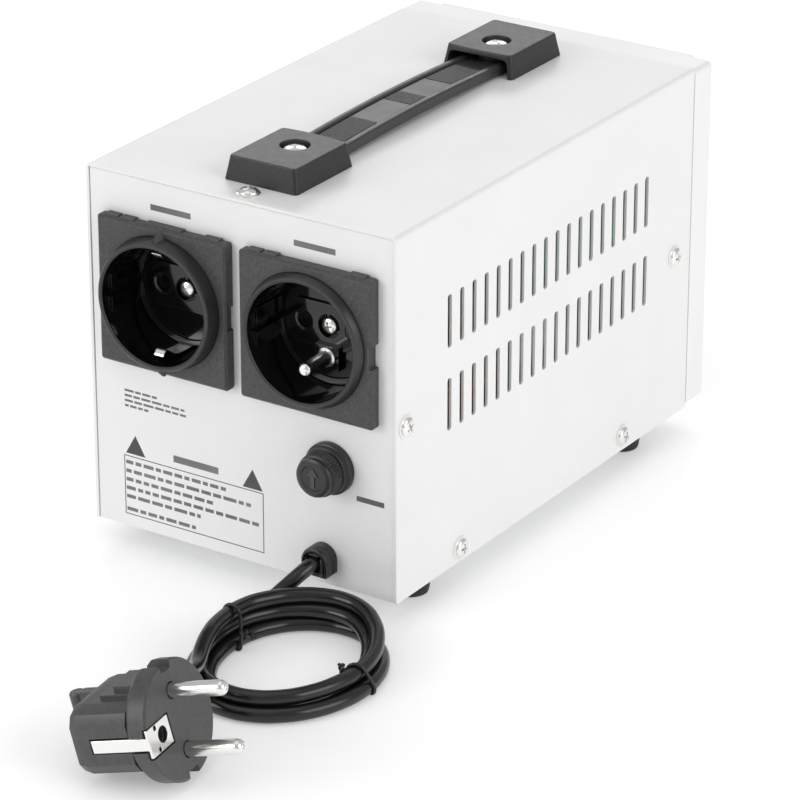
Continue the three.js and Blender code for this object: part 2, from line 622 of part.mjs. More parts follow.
function makeHandle() {
  for (const end of [-1, 1]) {
    const y = HANDLE_Y + end * HANDLE_HALF;
    const base = TOP_Z + 0.05;
    const outerWall = y + end * (CAP_TOP[1] / 2 - 2.6);
    const mouth = y - end * (CAP_BASE[1] / 2 + 1);
    const [low, high] = [Math.min(mouth, outerWall), Math.max(mouth, outerWall)];
    const room = block(-10.6, 10.6, low, high, base - 1, TOP_Z + CAP_ROOM);
    let cap = frustum(0, y, base, TOP_Z + CAP_H, CAP_BASE, CAP_TOP).subtract(room);
    const screwY = HANDLE_Y + end * HANDLE_SCREW;
    cap = cap.add(rodZ(BOSS_R, base, TOP_Z + CAP_ROOM + 0.5, 0, screwY, 16));
    cap = cap.subtract(rodZ(4.9, TOP_Z + 4.7, TOP_Z + CAP_H + 1, 0, screwY, 16));
    cap = cap.subtract(rodZ(2.3, base - 1, TOP_Z + CAP_H + 1, 0, screwY));
    place(end > 0 ? 'handle_cap_rear' : 'handle_cap_front', cap, 'black');
    const seat = TOP_Z + 4.8;
    const screw = turnedZ([
      [0, TOP_Z - 7], [2, TOP_Z - 7], [2, seat], [4.4, seat],
      [4.4, seat + 1.2], [2.9, seat + 2.3], [0, seat + 2.3],
    ], 0, screwY, SMALL_ROUND);
    place(end > 0 ? 'handle_screw_rear' : 'handle_screw_front', screw, 'nickel');
  }
  const low = TOP_Z + GAP;
  const span = HANDLE_HALF - CAP_BASE[1] / 2 + 5;
  const reach = HANDLE_HALF + 10.4;
  const half = STRAP_W / 2;
  let strap = join(
    block(-half, half, HANDLE_Y - span, HANDLE_Y + span, low, low + STRAP_T),
    block(-half, half, HANDLE_Y - reach, HANDLE_Y + reach, low, low + 2),
  );
  const sunk = low + STRAP_T - 0.8;
  strap = strap.subtract(block(-5.2, 5.2, HANDLE_Y - span - 1, HANDLE_Y + span + 1, sunk, sunk + 2));
  for (const end of [-1, 1]) {
    const near = HANDLE_Y + end * (HANDLE_SCREW - 8.4);
    const far = HANDLE_Y + end * (HANDLE_SCREW + 8.4);
    const [start, stop] = [Math.min(near, far), Math.max(near, far)];
    strap = strap.subtract(block(-BOSS_R - 0.5, BOSS_R + 0.5, start, stop, low - 1, low + STRAP_T + 1));
  }
  place('handle_strap', strap, 'black');
}

// ---- feet ----
const FOOT_X = 48.3;
const FOOT_REAR_Y = REAR_Y - 24.6;
const FOOT_FRONT_Y = REAR_Y - 157.9;

function makeFeet() {
  const profile = [[0, 2.5], [2.6, 2.5], [2.6, 0], [5.5, 0], [5.9, 0.4], [7.1, FOOT_H - 0.05], [0, FOOT_H - 0.05]];
  for (const [sideName, x] of [['left', FOOT_X], ['right', -FOOT_X]]) {
    place(`foot_rear_${sideName}`, turnedZ(profile, x, FOOT_REAR_Y, 16), 'rubber');
    place(`foot_front_${sideName}`, turnedZ(profile, x, FOOT_FRONT_Y, 16), 'rubber');
  }
}

// ---- variac: core, winding, bearing post, brush arm, gears, motor ----
const POST_TOP = 60;
const SHAFT_R = 4;
const BRUSH_RADIUS = 36;

function makeVariac() {
  const [z0, z1] = WINDING_Z;
  const wall = WINDING_WALL;
  const ring = (r0, r1, low, high, sides) => turnedZ([[r0, low], [r1, low], [r1, high], [r0, high], [r0, low]],
    0, VARIAC_Y, sides);
  const core = ring(WINDING_HOLE_R + wall + GAP, WINDING_R - wall - GAP, z0 + wall + GAP, z1 - wall - GAP, 36);
  place('variac_core', core, 'iron');
  const half = THREE.MathUtils.degToRad(WINDING_GAP_DEG / 2);
  const reach = WINDING_R + 12;
  const wedge = alongZ([
    [0, VARIAC_Y], [-reach * Math.sin(half), VARIAC_Y - reach * Math.cos(half)],
    [reach * Math.sin(half), VARIAC_Y - reach * Math.cos(half)],
  ], z0 - 1, z1 + 1);
  const winding = cut(
    ring(WINDING_HOLE_R, WINDING_R, z0, z1, 36),
    ring(WINDING_HOLE_R + wall, WINDING_R - wall, z0 + wall, z1 - wall, 36),
    wedge,
  );
  place('variac_winding', winding, 'copper');
  const base = FOOT_H + SHEET + 0.05;
  const post = turnedZ([
    [SHAFT_R + 0.1, base], [34, base], [34, z0 - 0.2], [10, z0 - 0.2], [10, POST_TOP],
    [SHAFT_R + 0.1, POST_TOP], [SHAFT_R + 0.1, base],
  ], 0, VARIAC_Y);
  const stop = rodZ(1.8, base + 1, 65.6, 0, VARIAC_Y - 15);
  place('variac_bearing_post', post.add(stop), 'nylon');
  // arm: hub, radial bar and shaft
  const arm = join(
    rodZ(9, POST_TOP + GAP, 66, 0, VARIAC_Y, ROUND),
    block(-5, 5, VARIAC_Y, VARIAC_Y + BRUSH_RADIUS + 8, 62.2, 65.2),
    rodZ(SHAFT_R, 20, 71.5, 0, VARIAC_Y, ROUND),
  );
  place('brush_arm', arm, 'zinc');
  const brush = block(-3, 3, VARIAC_Y + BRUSH_RADIUS - 4.5, VARIAC_Y + BRUSH_RADIUS + 4.5, z1 + GAP, 61.9);
  place('carbon_brush', brush, 'carbon');
  const gear = alongZ(gearOutline(GEAR_TEETH, 0, VARIAC_Y, 0), ...GEAR_Z)
    .subtract(rodZ(SHAFT_R + GAP, GEAR_Z[0] - 1, GEAR_Z[1] + 1, 0, VARIAC_Y, ROUND));
  place('driven_gear', gear, 'nylon');
  const half_tooth = Math.PI / PINION_TEETH;
  const pinion = join(
    alongZ(gearOutline(PINION_TEETH, MOTOR_X, VARIAC_Y, half_tooth), ...GEAR_Z),
    rodZ(2, GEAR_Z[1] - 1, BRACKET_Z + 8, MOTOR_X, VARIAC_Y),
  );
  place('servo_pinion', pinion, 'nylon');
}

// simple trapezoid teeth; a tooth points along +X when phase is 0
function gearOutline(teeth, cx, cy, phase) {
  const pitchR = teeth * GEAR_MODULE / 2;
  const tipR = pitchR + 0.8 * GEAR_MODULE;
  const rootR = pitchR - 1.15 * GEAR_MODULE;
  const step = 2 * Math.PI / teeth;
  const points = [];
  for (let i = 0; i < teeth; i += 1) {
    const mid = phase + i * step;
    for (const [share, r] of [[-0.34, rootR], [-0.12, tipR], [0.12, tipR], [0.34, rootR]]) {
      points.push([cx + r * Math.cos(mid + share * step), cy + r * Math.sin(mid + share * step)]);
    }
  }
  return points;
}

function makeServo() {
  const legX = WINDING_R + 3.4;
  const halfD = 11;
  const floor = FOOT_H + SHEET + 0.05;
  const plate = 2;
  let bracket = join(
    block(-legX - plate, legX + plate, VARIAC_Y - halfD, VARIAC_Y + halfD, BRACKET_Z, BRACKET_Z + plate),
    block(-legX - plate, -legX, VARIAC_Y - halfD, VARIAC_Y + halfD, floor, BRACKET_Z + plate),
    block(legX, legX + plate, VARIAC_Y - halfD, VARIAC_Y + halfD, floor, BRACKET_Z + plate),
  );
  bracket = cut(
    bracket,
    rodZ(3.5, BRACKET_Z - 1, BRACKET_Z + plate + 1, MOTOR_X, VARIAC_Y),
  );
  place('servo_bracket', bracket, 'zinc');
  const seat = BRACKET_Z + plate + 0.05;
  const motor = cut(
    join(
      rodZ(17, seat, seat + 22, MOTOR_X, VARIAC_Y, ROUND),
      rodZ(12, seat + 21, seat + 34, MOTOR_X, VARIAC_Y, ROUND),
    ),
    rodZ(2.1, seat - 1, seat + 8, MOTOR_X, VARIAC_Y),
  );
  place('servo_motor', motor, 'zinc');
}

function makeControlBoard() {
  const x = -46;
  const low = BRACKET_Z + 2 + 0.05;
  const board = join(
    block(x - 1.6, x, VARIAC_Y - 60, VARIAC_Y + 24, low + 4, low + 44),
    block(x - 1.6, x, VARIAC_Y - 8, VARIAC_Y + 8, low, low + 6),
    block(x - 0.5, x + 15, VARIAC_Y - 50, VARIAC_Y - 31, low + 10, low + 25),
    block(x - 0.5, x + 10, VARIAC_Y - 24, VARIAC_Y - 12, low + 22, low + 30),
    rodX(5, x - 0.5, x + 16, VARIAC_Y - 18, low + 14),
  );
  place('control_board', board, 'board');
}

// ---- cord: lead out, coil and plug lead ----
// hand-laid points of the stretches that are not coiled
const COIL_X = -49;
const COIL_Y = REAR_Y + 43.6;
const COIL_HALF = [20, 25.6];
const COIL_BAND = 5;
const COIL_TOP = 7.4;
const LEAD_OUT = [
  [BUSH_X, REAR_Y + 2, BUSH_Z], [BUSH_X, REAR_Y + 6.4, BUSH_Z], [BUSH_X + 0.3, REAR_Y + 9.4, BUSH_Z - 0.8],
  [BUSH_X + 1.8, REAR_Y + 12.4, BUSH_Z - 3], [BUSH_X + 4.8, REAR_Y + 15.2, BUSH_Z - 6.4],
  [BUSH_X + 8.2, REAR_Y + 18.6, BUSH_Z - 10], [BUSH_X + 11, REAR_Y + 23.4, BUSH_Z - 12.9],
  [BUSH_X + 12.4, REAR_Y + 29.2, BUSH_Z - 14.4], [BUSH_X + 12.6, REAR_Y + 35.6, BUSH_Z - 14.8],
];
const PLUG_LEAD = [
  [-24.4, REAR_Y + 49, 12.6], [-26, REAR_Y + 55.6, 12.2], [-28.2, REAR_Y + 61.8, 11.2],
  [-30.9, REAR_Y + 67.6, 10.2], [-33.6, REAR_Y + 73, 10.4], [-36.2, REAR_Y + 78, 12],
  [-38.3, REAR_Y + 82.2, 14], [-39.4, REAR_Y + 85, 15], [-39.8, REAR_Y + 86.6, 15.3],
];

function makeTube(name, points, sides, steps) {
  const curve = new THREE.CatmullRomCurve3(points.map(([x, y, z]) => new THREE.Vector3(x, y, z)), false, 'centripetal');
  const section = new THREE.Shape();
  for (let i = 0; i < sides; i += 1) {
    const angle = 2 * Math.PI * i / sides;
    const point = [CORD_R * Math.cos(angle), CORD_R * Math.sin(angle)];
    if (i === 0) section.moveTo(...point);
    else section.lineTo(...point);
  }
  section.closePath();
  const geometry = new THREE.ExtrudeGeometry(section, { steps, bevelEnabled: false, extrudePath: curve });
  place(name, solid(geometry), 'rubber');
}

function makeCord() {
  makeTube('cord_lead_out', LEAD_OUT, 10, 10);
  makeTube('cord_plug_lead', PLUG_LEAD, 10, 10);
  const [ax, ay] = COIL_HALF;
  const [inside, outside] = [ax - COIL_BAND, ax + COIL_BAND];
  const geometry = new THREE.LatheGeometry([
    [inside, 0], [outside, 0], [outside, COIL_TOP], [inside, COIL_TOP], [inside, 0],
  ].map(([r, z]) => new THREE.Vector2(r, z)), 32);
  geometry.rotateX(Math.PI / 2);
  geometry.scale(1, ay / ax, 1);
  geometry.translate(COIL_X, COIL_Y, 0);
  place('cord_coil', solid(geometry), 'rubber');
}

// ---- plug: local x towards the earth contact, y along the pin pair, z along the pins ----
const PLUG_TILT = THREE.MathUtils.degToRad(16);
const PLUG_YAW = THREE.MathUtils.degToRad(7);
const PLUG_POINT = [-60, REAR_Y + 117, 20.05];
const PLUG_R = 18.5;
const PLUG_DISC_T = 8;

function plugMatrix() {
  const pins = new THREE.Vector3(
    -Math.cos(PLUG_TILT) * Math.cos(PLUG_YAW), -Math.cos(PLUG_TILT) * Math.sin(PLUG_YAW), Math.sin(PLUG_TILT));
  const earth = new THREE.Vector3(-Math.sin(PLUG_YAW), Math.cos(PLUG_YAW), 0);
  const pair = new THREE.Vector3().crossVectors(pins, earth);
  return new THREE.Matrix4().makeBasis(earth, pair, pins).setPosition(...PLUG_POINT);
}

function placeOnPlug(name, body, finish) {
  const geometry = toGeometry(body);
  geometry.applyMatrix4(plugMatrix());
  place(name, geometry, finish);
}

function makePlug() {
  const neckZ = -17;
  const neck = new THREE.CylinderGeometry(3.9, 6.6, 18, SMALL_ROUND);
  neck.rotateZ(Math.PI / 2);
  neck.translate(-23, 0, neckZ);
  const body = cut(
    join(
      rodZ(PLUG_R, -PLUG_DISC_T, 0, 0, 0, 32),
      alongZ(roundedRect(0.5, 0, 31, 23, 5), -28, -PLUG_DISC_T + 0.5),
      block(8, 17.4, -5.5, 5.5, -25, -PLUG_DISC_T + 0.5),
      solid(neck),
      cut(block(-8, -4.5, -8.6, 8.6, -40.5, -27), rodX(4.4, -9, -3, 0, -34, 12)),
    ),
    rodZ(PIN_R + GAP, -3.3, 1, 0, -PIN_PITCH / 2),
    rodZ(PIN_R + GAP, -3.3, 1, 0, PIN_PITCH / 2),
    block(5.2, PLUG_R + 1, -4.8, 4.8, -1.5, 1),
    block(15.8, PLUG_R + 1, -2.4, 2.4, -21, 1),
    rodZ(2.5, -16, 1, EARTH_OFFSET, 0),
  );
  placeOnPlug('plug_body', body, 'rubber');
  for (const [where, y] of [['upper', -PIN_PITCH / 2], ['lower', PIN_PITCH / 2]]) {
    const pin = turnedZ([[0, -3], [PIN_R, -3], [PIN_R, 17.4], [1.7, 18.6], [0, 19]], 0, y, SMALL_ROUND);
    placeOnPlug(`plug_pin_${where}`, pin, 'nickel');
  }
  const earth = cut(
    join(
      block(5.6, 17.4, -4.4, 4.4, -1.2, -0.2),
      block(16.2, 17.4, -2, 2, -20.6, -0.2),
    ),
    rodZ(2.5, -3, 1, EARTH_OFFSET, 0),
  );
  placeOnPlug('plug_earth_contact', earth, 'nickel');
}

makeTopCover();
makeBasePan();
makeRearPanel();
makeBezel();
makeMeter();
makeFrontControls();
makeSockets();
makeFuseHolder();
makeCordBushing();
makeHandle();
makeFeet();
makeCaseScrews();
makeVariac();
makeServo();
makeControlBoard();
makeCord();
makePlug();

export default group;
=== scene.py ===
# %% [markdown]
# # A bench voltage stabiliser with two mains sockets
# A white steel box holds a ring-shaped transformer whose brush is turned by a small motor.
# Mains comes in by a black lead and goes out by two black sockets; a strap handle carries it.
# The frame gives every part's place, so each cell below only adds shape and finish to one piece.

# %% Load the frame
import json
import math
import random

import bmesh
import bpy
from mathutils import Matrix, Vector


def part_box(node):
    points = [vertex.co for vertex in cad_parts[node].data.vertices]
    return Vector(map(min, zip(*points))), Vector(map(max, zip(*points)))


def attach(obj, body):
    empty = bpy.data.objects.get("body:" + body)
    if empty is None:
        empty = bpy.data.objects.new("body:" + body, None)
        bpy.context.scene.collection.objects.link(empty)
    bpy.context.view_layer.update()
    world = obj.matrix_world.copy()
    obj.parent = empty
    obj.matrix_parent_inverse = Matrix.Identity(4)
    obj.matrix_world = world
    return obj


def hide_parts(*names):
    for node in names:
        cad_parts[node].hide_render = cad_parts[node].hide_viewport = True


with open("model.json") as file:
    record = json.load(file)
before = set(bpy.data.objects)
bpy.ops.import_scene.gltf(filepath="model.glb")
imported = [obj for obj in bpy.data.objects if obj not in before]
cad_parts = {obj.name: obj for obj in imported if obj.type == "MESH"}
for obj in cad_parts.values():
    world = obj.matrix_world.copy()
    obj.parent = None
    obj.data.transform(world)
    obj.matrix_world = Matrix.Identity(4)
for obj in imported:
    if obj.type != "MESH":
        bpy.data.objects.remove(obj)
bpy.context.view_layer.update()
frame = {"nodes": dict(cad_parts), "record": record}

MM = 0.001

# %% [markdown]
# ## Landmarks
# The places that the pieces share: the cover's edges, the socket centres, the fuse and the bushing.
# They are read from the nodes' boxes, so a change of the frame carries through to every mesh.

# %% Landmarks
def middle(node):
    low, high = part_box(node)
    return (low + high) / 2


COVER_LOW, COVER_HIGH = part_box("top_cover")
REAR = COVER_HIGH.y
TOP = COVER_HIGH.z
SIDE = COVER_HIGH.x
BENCH = 0.0
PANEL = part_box("rear_panel")[1].y
LEFT_SOCKET = middle("left_socket")
RIGHT_SOCKET = middle("right_socket")
FUSE = middle("fuse_cap")
BUSHING = middle("cord_bushing")
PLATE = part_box("front_bezel")[0].y
print("rear edge of the cover at y =", round(REAR / MM, 2), "mm")

# %% [markdown]
# ## Camera
# A long lens from the socket side, above and to the right, keeps the box's edges nearly parallel.
# The direction is a plain look vector; its quaternion turns the camera's -Z axis that way.

# %% Camera
camera_data = bpy.data.cameras.new("camera")
camera_data.sensor_width = 36.0
camera_data.lens = 190.8
camera_data.clip_end = 20.0
camera = bpy.data.objects.new("camera", camera_data)
camera.location = (-0.7154, 1.0956, 0.6113)
look = Vector((0.5008, -0.7639, -0.4069))
camera.rotation_euler = look.to_track_quat("-Z", "Y").to_euler()
bpy.context.collection.objects.link(camera)
bpy.context.scene.camera = camera
bpy.context.scene.view_settings.view_transform = "Standard"
print("camera is", round(camera.location.length, 2), "m from the object")

# %% [markdown]
# ## Mesh helpers
# Most pieces are turned, extruded or lofted. One loft through rings of points makes all three:
# a turned piece is rings round an axis, an extrusion is two copies of one outline.

# %% Loft, turn and extrude
ORIGIN = Vector((0, 0, 0))
SHARP = math.radians(32)
CORNERS = ((-1, -1), (1, -1), (1, 1), (-1, 1))
AXES = {
    "X": Matrix(((0, 0, 1), (1, 0, 0), (0, 1, 0))),
    "Y": Matrix(((1, 0, 0), (0, 0, 1), (0, 1, 0))),
    "Z": Matrix.Identity(3),
}


def shade(mesh):
    """Smooth faces, with a sharp edge wherever two of them meet at a steep angle."""
    mesh.polygons.foreach_set("use_smooth", [True] * len(mesh.polygons))
    mesh.set_sharp_from_angle(angle=SHARP)


def placed(name, data):
    obj = bpy.data.objects.new(name, data)
    bpy.context.collection.objects.link(obj)
    return obj


def mesh_object(name, bm):
    mesh = bpy.data.meshes.new(name)
    bm.to_mesh(mesh)
    bm.free()
    shade(mesh)
    return placed(name, mesh)


def loft(name, rings, closed=False):
    """One skin through rings of points; open ends are capped."""
    bm = bmesh.new()
    rows = [[bm.verts.new(point) for point in ring] for ring in rings]
    pairs = list(zip(rows, rows[1:]))
    if closed:
        pairs.append((rows[-1], rows[0]))
    for low, high in pairs:
        for i in range(len(low)):
            j = (i + 1) % len(low)
            bm.faces.new((low[i], low[j], high[j], high[i]))
    if not closed:
        bm.faces.new(list(reversed(rows[0])))
        bm.faces.new(rows[-1])
    bmesh.ops.remove_doubles(bm, verts=bm.verts, dist=1e-7)
    bmesh.ops.dissolve_degenerate(bm, edges=bm.edges, dist=1e-8)
    bmesh.ops.recalc_face_normals(bm, faces=bm.faces)
    return mesh_object(name, bm)


def turned(name, profile, centre, axis="Y", sides=72, closed=False, ripple=None):
    """Turn a profile of (radius, height), both in metres, about an axis through centre."""
    place = AXES[axis]
    rings = []
    for radius, height in profile:
        ring = []
        for i in range(sides):
            angle = 2 * math.pi * i / sides
            wave = ripple(angle, radius, height) if ripple else 0.0
            r = radius + wave
            ring.append(centre + place @ Vector((r * math.cos(angle), r * math.sin(angle), height)))
        rings.append(ring)
    return loft(name, rings, closed)


def extruded(name, outline, low, high, axis="Y", centre=ORIGIN):
    """Push an outline of (u, v) points along an axis from low to high."""
    place = AXES[axis]
    return loft(name, [
        [centre + place @ Vector((u, v, height)) for u, v in outline] for height in (low, high)])


def rounded(width, height, radius, steps=6, u=0.0, v=0.0, between=0):
    """Outline of a rectangle with round corners, about (u, v); between adds points on each side."""
    points = []
    corners = (
        (1, 1, 0, (-1, 0)), (-1, 1, 90, (0, -1)), (-1, -1, 180, (1, 0)), (1, -1, 270, (0, 1)))
    for su, sv, start, (walk_u, walk_v) in corners:
        for i in range(steps + 1):
            angle = math.radians(start + 90 * i / steps)
            points.append((
                u + su * (width / 2 - radius) + radius * math.cos(angle),
                v + sv * (height / 2 - radius) + radius * math.sin(angle),
            ))
        corner = points[-1]
        side = (width if walk_u else height) - 2 * radius
        for i in range(1, between + 1):
            walk = side * i / (between + 1)
            points.append((corner[0] + walk_u * walk, corner[1] + walk_v * walk))
    return points


def in_mm(*pairs):
    return [(u * MM, v * MM) for u, v in pairs]


def rod(name, radius, low, high, centre, axis="Z", sides=40):
    """A plain cylinder, sized in mm: a drill for a hole, or a boss."""
    profile = in_mm((0, low), (radius, low), (radius, high), (0, high))
    return turned(name, profile, centre, axis, sides)


def circle(radius, steps=48, u=0.0, v=0.0):
    turns = [2 * math.pi * i / steps for i in range(steps)]
    return [(u + radius * math.cos(a), v + radius * math.sin(a)) for a in turns]


def box_between(name, low, high):
    width, depth = high[0] - low[0], high[1] - low[1]
    outline = [(0, 0), (width, 0), (width, depth), (0, depth)]
    return extruded(name, outline, 0, high[2] - low[2], "Z", Vector(low))


print("helpers ready: loft, turned, extruded, rounded, rod, circle")

# %% [markdown]
# ## Cutting, joining and softening
# Booleans do what a drill and a milling cutter do. They are applied at once, so the piece left is
# a plain mesh. A narrow bevel then breaks each hard edge: moulded and pressed parts have none
# that are truly sharp, and that thin lit line is what makes an edge read as real.

# %% Boolean and bevel helpers
def bake_modifiers(obj):
    graph = bpy.context.evaluated_depsgraph_get()
    mesh = bpy.data.meshes.new_from_object(obj.evaluated_get(graph))
    obj.modifiers.clear()
    obj.data = mesh
    shade(mesh)


ROOMY = 1000


def combine(obj, tools, operation):
    """One boolean for all tools, at a thousand times the size, where its tolerances are small."""
    merged = bmesh.new()
    for tool in tools:
        merged.from_mesh(tool.data)
        bpy.data.objects.remove(tool, do_unlink=True)
    tool = mesh_object("tool", merged)
    for mesh in (obj.data, tool.data):
        mesh.transform(Matrix.Scale(ROOMY, 4))
    modifier = obj.modifiers.new("combine", "BOOLEAN")
    modifier.operation = operation
    modifier.solver = "EXACT"
    modifier.use_self = len(tools) > 1
    modifier.object = tool
    bpy.context.view_layer.update()
    bake_modifiers(obj)
    obj.data.transform(Matrix.Scale(1 / ROOMY, 4))
    bpy.data.objects.remove(tool, do_unlink=True)
    return obj


def cut(obj, *tools):
    return combine(obj, tools, "DIFFERENCE")


def weld_on(obj, *tools):
    return combine(obj, tools, "UNION")


def soften(obj, width, segments=2, angle=34):
    modifier = obj.modifiers.new("soft_edge", "BEVEL")
    modifier.width = width
    modifier.segments = segments
    modifier.limit_method = "ANGLE"
    modifier.angle_limit = math.radians(angle)
    modifier.miter_outer = "MITER_ARC"
    modifier.harden_normals = True
    return obj


def level_normals(obj):
    """Let the large faces rule the shading, so that flat ones stay flat beside a bevel."""
    modifier = obj.modifiers.new("level_normals", "WEIGHTED_NORMAL")
    modifier.weight = 100
    modifier.keep_sharp = True
    return obj


def fit(obj, body, slot, material, *nodes, edge=0.0, segments=2):
    """Give a piece its material, its bevel in mm, its body and the nodes that it stands for."""
    obj.data.materials.clear()
    obj.data.materials.append(material)
    if edge:
        soften(obj, edge * MM, segments)
    level_normals(obj)
    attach(obj, body)
    if nodes:
        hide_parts(*nodes)
    return obj


print("edge helpers ready")

# %% [markdown]
# ## Shader groups
# Four small effects serve every finish: fine grain for the normal, a slow drift of tone, patches
# of other roughness, and a mask that finds edges by comparing the true normal with a rounded one;
# that mask lays a painted highlight along the edges.
# Each is built once and placed in a material with that material's own values.

# %% Shader group builder
def effect(name, inputs, output, output_type):
    group = bpy.data.node_groups.new(name, "ShaderNodeTree")
    for label, kind, value in inputs:
        socket = group.interface.new_socket(name=label, in_out="INPUT", socket_type=kind)
        socket.default_value = value
    group.interface.new_socket(name=output, in_out="OUTPUT", socket_type=output_type)
    entry = group.nodes.new("NodeGroupInput")
    leave = group.nodes.new("NodeGroupOutput")
    return group, entry, leave


def node(tree, kind, links=(), **settings):
    """Add a node; links are (input, source) pairs, where a source is a socket or a value."""
    made = tree.nodes.new(kind)
    for key, value in settings.items():
        setattr(made, key, value)
    for key, source in links:
        if isinstance(source, bpy.types.NodeSocket):
            tree.links.new(source, made.inputs[key])
        else:
            made.inputs[key].default_value = source
    return made


FLOAT, COLOUR, VECTOR = "NodeSocketFloat", "NodeSocketColor", "NodeSocketVector"

fine, entry, leave = effect(
    "fine_grain", [("Size", FLOAT, 900.0), ("Depth", FLOAT, 0.2), ("Lift", FLOAT, 0.0001)],
    "Normal", VECTOR)
place = node(fine, "ShaderNodeTexCoord").outputs["Object"]
speckle = node(fine, "ShaderNodeTexNoise", [
    ("Vector", place), ("Scale", entry.outputs["Size"]), ("Detail", 4.0), ("Roughness", 0.6)])
bump = node(fine, "ShaderNodeBump", [
    ("Strength", entry.outputs["Depth"]), ("Distance", entry.outputs["Lift"]),
    ("Height", speckle.outputs[0])])
fine.links.new(bump.outputs[0], leave.inputs[0])

drift, entry, leave = effect(
    "tone_drift", [("Colour", COLOUR, (1, 1, 1, 1)), ("Amount", FLOAT, 0.1), ("Size", FLOAT, 40.0)],
    "Colour", COLOUR)
place = node(drift, "ShaderNodeTexCoord").outputs["Object"]
cloud = node(drift, "ShaderNodeTexNoise", [
    ("Vector", place), ("Scale", entry.outputs["Size"]), ("Detail", 5.0)])
low = node(drift, "ShaderNodeMath", [(0, 1.0), (1, entry.outputs["Amount"])], operation="SUBTRACT")
high = node(drift, "ShaderNodeMath", [(0, 1.0), (1, entry.outputs["Amount"])], operation="ADD")
gain = node(drift, "ShaderNodeMapRange", [
    (0, cloud.outputs[0]), (1, 0.3), (2, 0.7), (3, low.outputs[0]), (4, high.outputs[0])])
tinted = node(drift, "ShaderNodeVectorMath", [
    (0, entry.outputs["Colour"]), (3, gain.outputs[0])], operation="SCALE")
drift.links.new(tinted.outputs[0], leave.inputs[0])

patches, entry, leave = effect(
    "rough_patches", [("Base", FLOAT, 0.4), ("Spread", FLOAT, 0.1), ("Size", FLOAT, 60.0)],
    "Roughness", FLOAT)
place = node(patches, "ShaderNodeTexCoord").outputs["Object"]
cloud = node(patches, "ShaderNodeTexNoise", [
    ("Vector", place), ("Scale", entry.outputs["Size"]), ("Detail", 6.0)])
centred = node(patches, "ShaderNodeMath", [(0, cloud.outputs[0]), (1, 0.5)], operation="SUBTRACT")
spread = node(patches, "ShaderNodeMath", [
    (0, centred.outputs[0]), (1, entry.outputs["Spread"]), (2, entry.outputs["Base"])],
    operation="MULTIPLY_ADD")
patches.links.new(spread.outputs[0], leave.inputs[0])

# Mask of the edges where a painted highlight is laid.
edges, entry, leave = effect(
    "edge_highlight_mask", [("Width", FLOAT, 0.0004), ("Gain", FLOAT, 3.0)], "Mask", FLOAT)
rounder = node(edges, "ShaderNodeBevel", [("Radius", entry.outputs["Width"])], samples=4)
true = node(edges, "ShaderNodeNewGeometry")
match = node(edges, "ShaderNodeVectorMath", [
    (0, rounder.outputs[0]), (1, true.outputs["Normal"])], operation="DOT_PRODUCT")
turn = node(edges, "ShaderNodeMath", [(0, 1.0), (1, match.outputs["Value"])], operation="SUBTRACT")
strong = node(edges, "ShaderNodeMath", [
    (0, turn.outputs[0]), (1, entry.outputs["Gain"])], operation="MULTIPLY", use_clamp=True)
edges.links.new(strong.outputs[0], leave.inputs[0])
print("shader groups:", [group.name for group in bpy.data.node_groups])

# %% [markdown]
# ## Finishes
# Each finish is a Principled shader fed by those groups. Values that don't change over the
# surface sit on the shader's own sockets. The numbers follow the real stuff: powder coat is
# off-white with a soft orange-peel, moulded black plastic is a dark grey with fine spark texture.

# %% Finish maker
def finish(name, colour, roughness, metallic=0.0, grain=(900, 0.15), tone=(0.04, 40),
           patch=(0.1, 60), edge=None, highlight_width=0.0004, clear=0.0, glow=0.0):
    """Grain is (size, depth); tone and patch are (amount, size); edge is a painted highlight colour
    laid along the edges.
    """
    material = bpy.data.materials.new(name)
    material.use_nodes = True
    tree = material.node_tree
    shader = tree.nodes["Principled BSDF"]
    shader.inputs["Metallic"].default_value = metallic
    shader.inputs["Transmission Weight"].default_value = clear
    if glow:
        shader.inputs["Emission Color"].default_value = (*colour, 1)
        shader.inputs["Emission Strength"].default_value = glow
    tint = node(tree, "ShaderNodeGroup", [
        ("Colour", (*colour, 1)), ("Amount", tone[0]), ("Size", tone[1])], node_tree=drift)
    paint = tint.outputs[0]
    # The edge colour is a painted highlight, mixed in where the mask finds an edge.
    if edge:
        highlight_mask = node(tree, "ShaderNodeGroup", [("Width", highlight_width)], node_tree=edges)
        mix = node(tree, "ShaderNodeMix", [
            (0, highlight_mask.outputs[0]), (6, paint), (7, (*edge, 1))], data_type="RGBA")
        paint = mix.outputs[2]
    tree.links.new(paint, shader.inputs["Base Color"])
    rough = node(tree, "ShaderNodeGroup", [
        ("Base", roughness), ("Spread", patch[0]), ("Size", patch[1])], node_tree=patches)
    tree.links.new(rough.outputs[0], shader.inputs["Roughness"])
    skin = node(tree, "ShaderNodeGroup", [("Size", grain[0]), ("Depth", grain[1])], node_tree=fine)
    tree.links.new(skin.outputs[0], shader.inputs["Normal"])
    return material


# The edge colours given below are painted highlights along each part's edges.
powder_coat = finish(
    "powder_coat", (0.84, 0.84, 0.838), 0.42, grain=(1500, 0.10), tone=(0.012, 40),
    patch=(0.12, 60), edge=(0.88, 0.88, 0.878))
bezel_plastic = finish(
    "bezel_plastic", (0.86, 0.86, 0.857), 0.36, grain=(2400, 0.06), tone=(0.01, 40),
    patch=(0.08, 60))
spark_black = finish(
    "spark_black", (0.016, 0.016, 0.017), 0.40, grain=(2600, 0.45), tone=(0.35, 1300),
    patch=(0.15, 400), edge=(0.07, 0.07, 0.07))
plate_black = finish(
    "plate_black", (0.050, 0.050, 0.051), 0.50, grain=(2100, 0.6), tone=(0.30, 1300),
    patch=(0.2, 500), edge=(0.13, 0.13, 0.13))
polished_black = finish(
    "polished_black", (0.0035, 0.0035, 0.004), 0.08, grain=(120, 0.03), tone=(0.05, 40),
    patch=(0.04, 60), edge=(0.03, 0.03, 0.03))
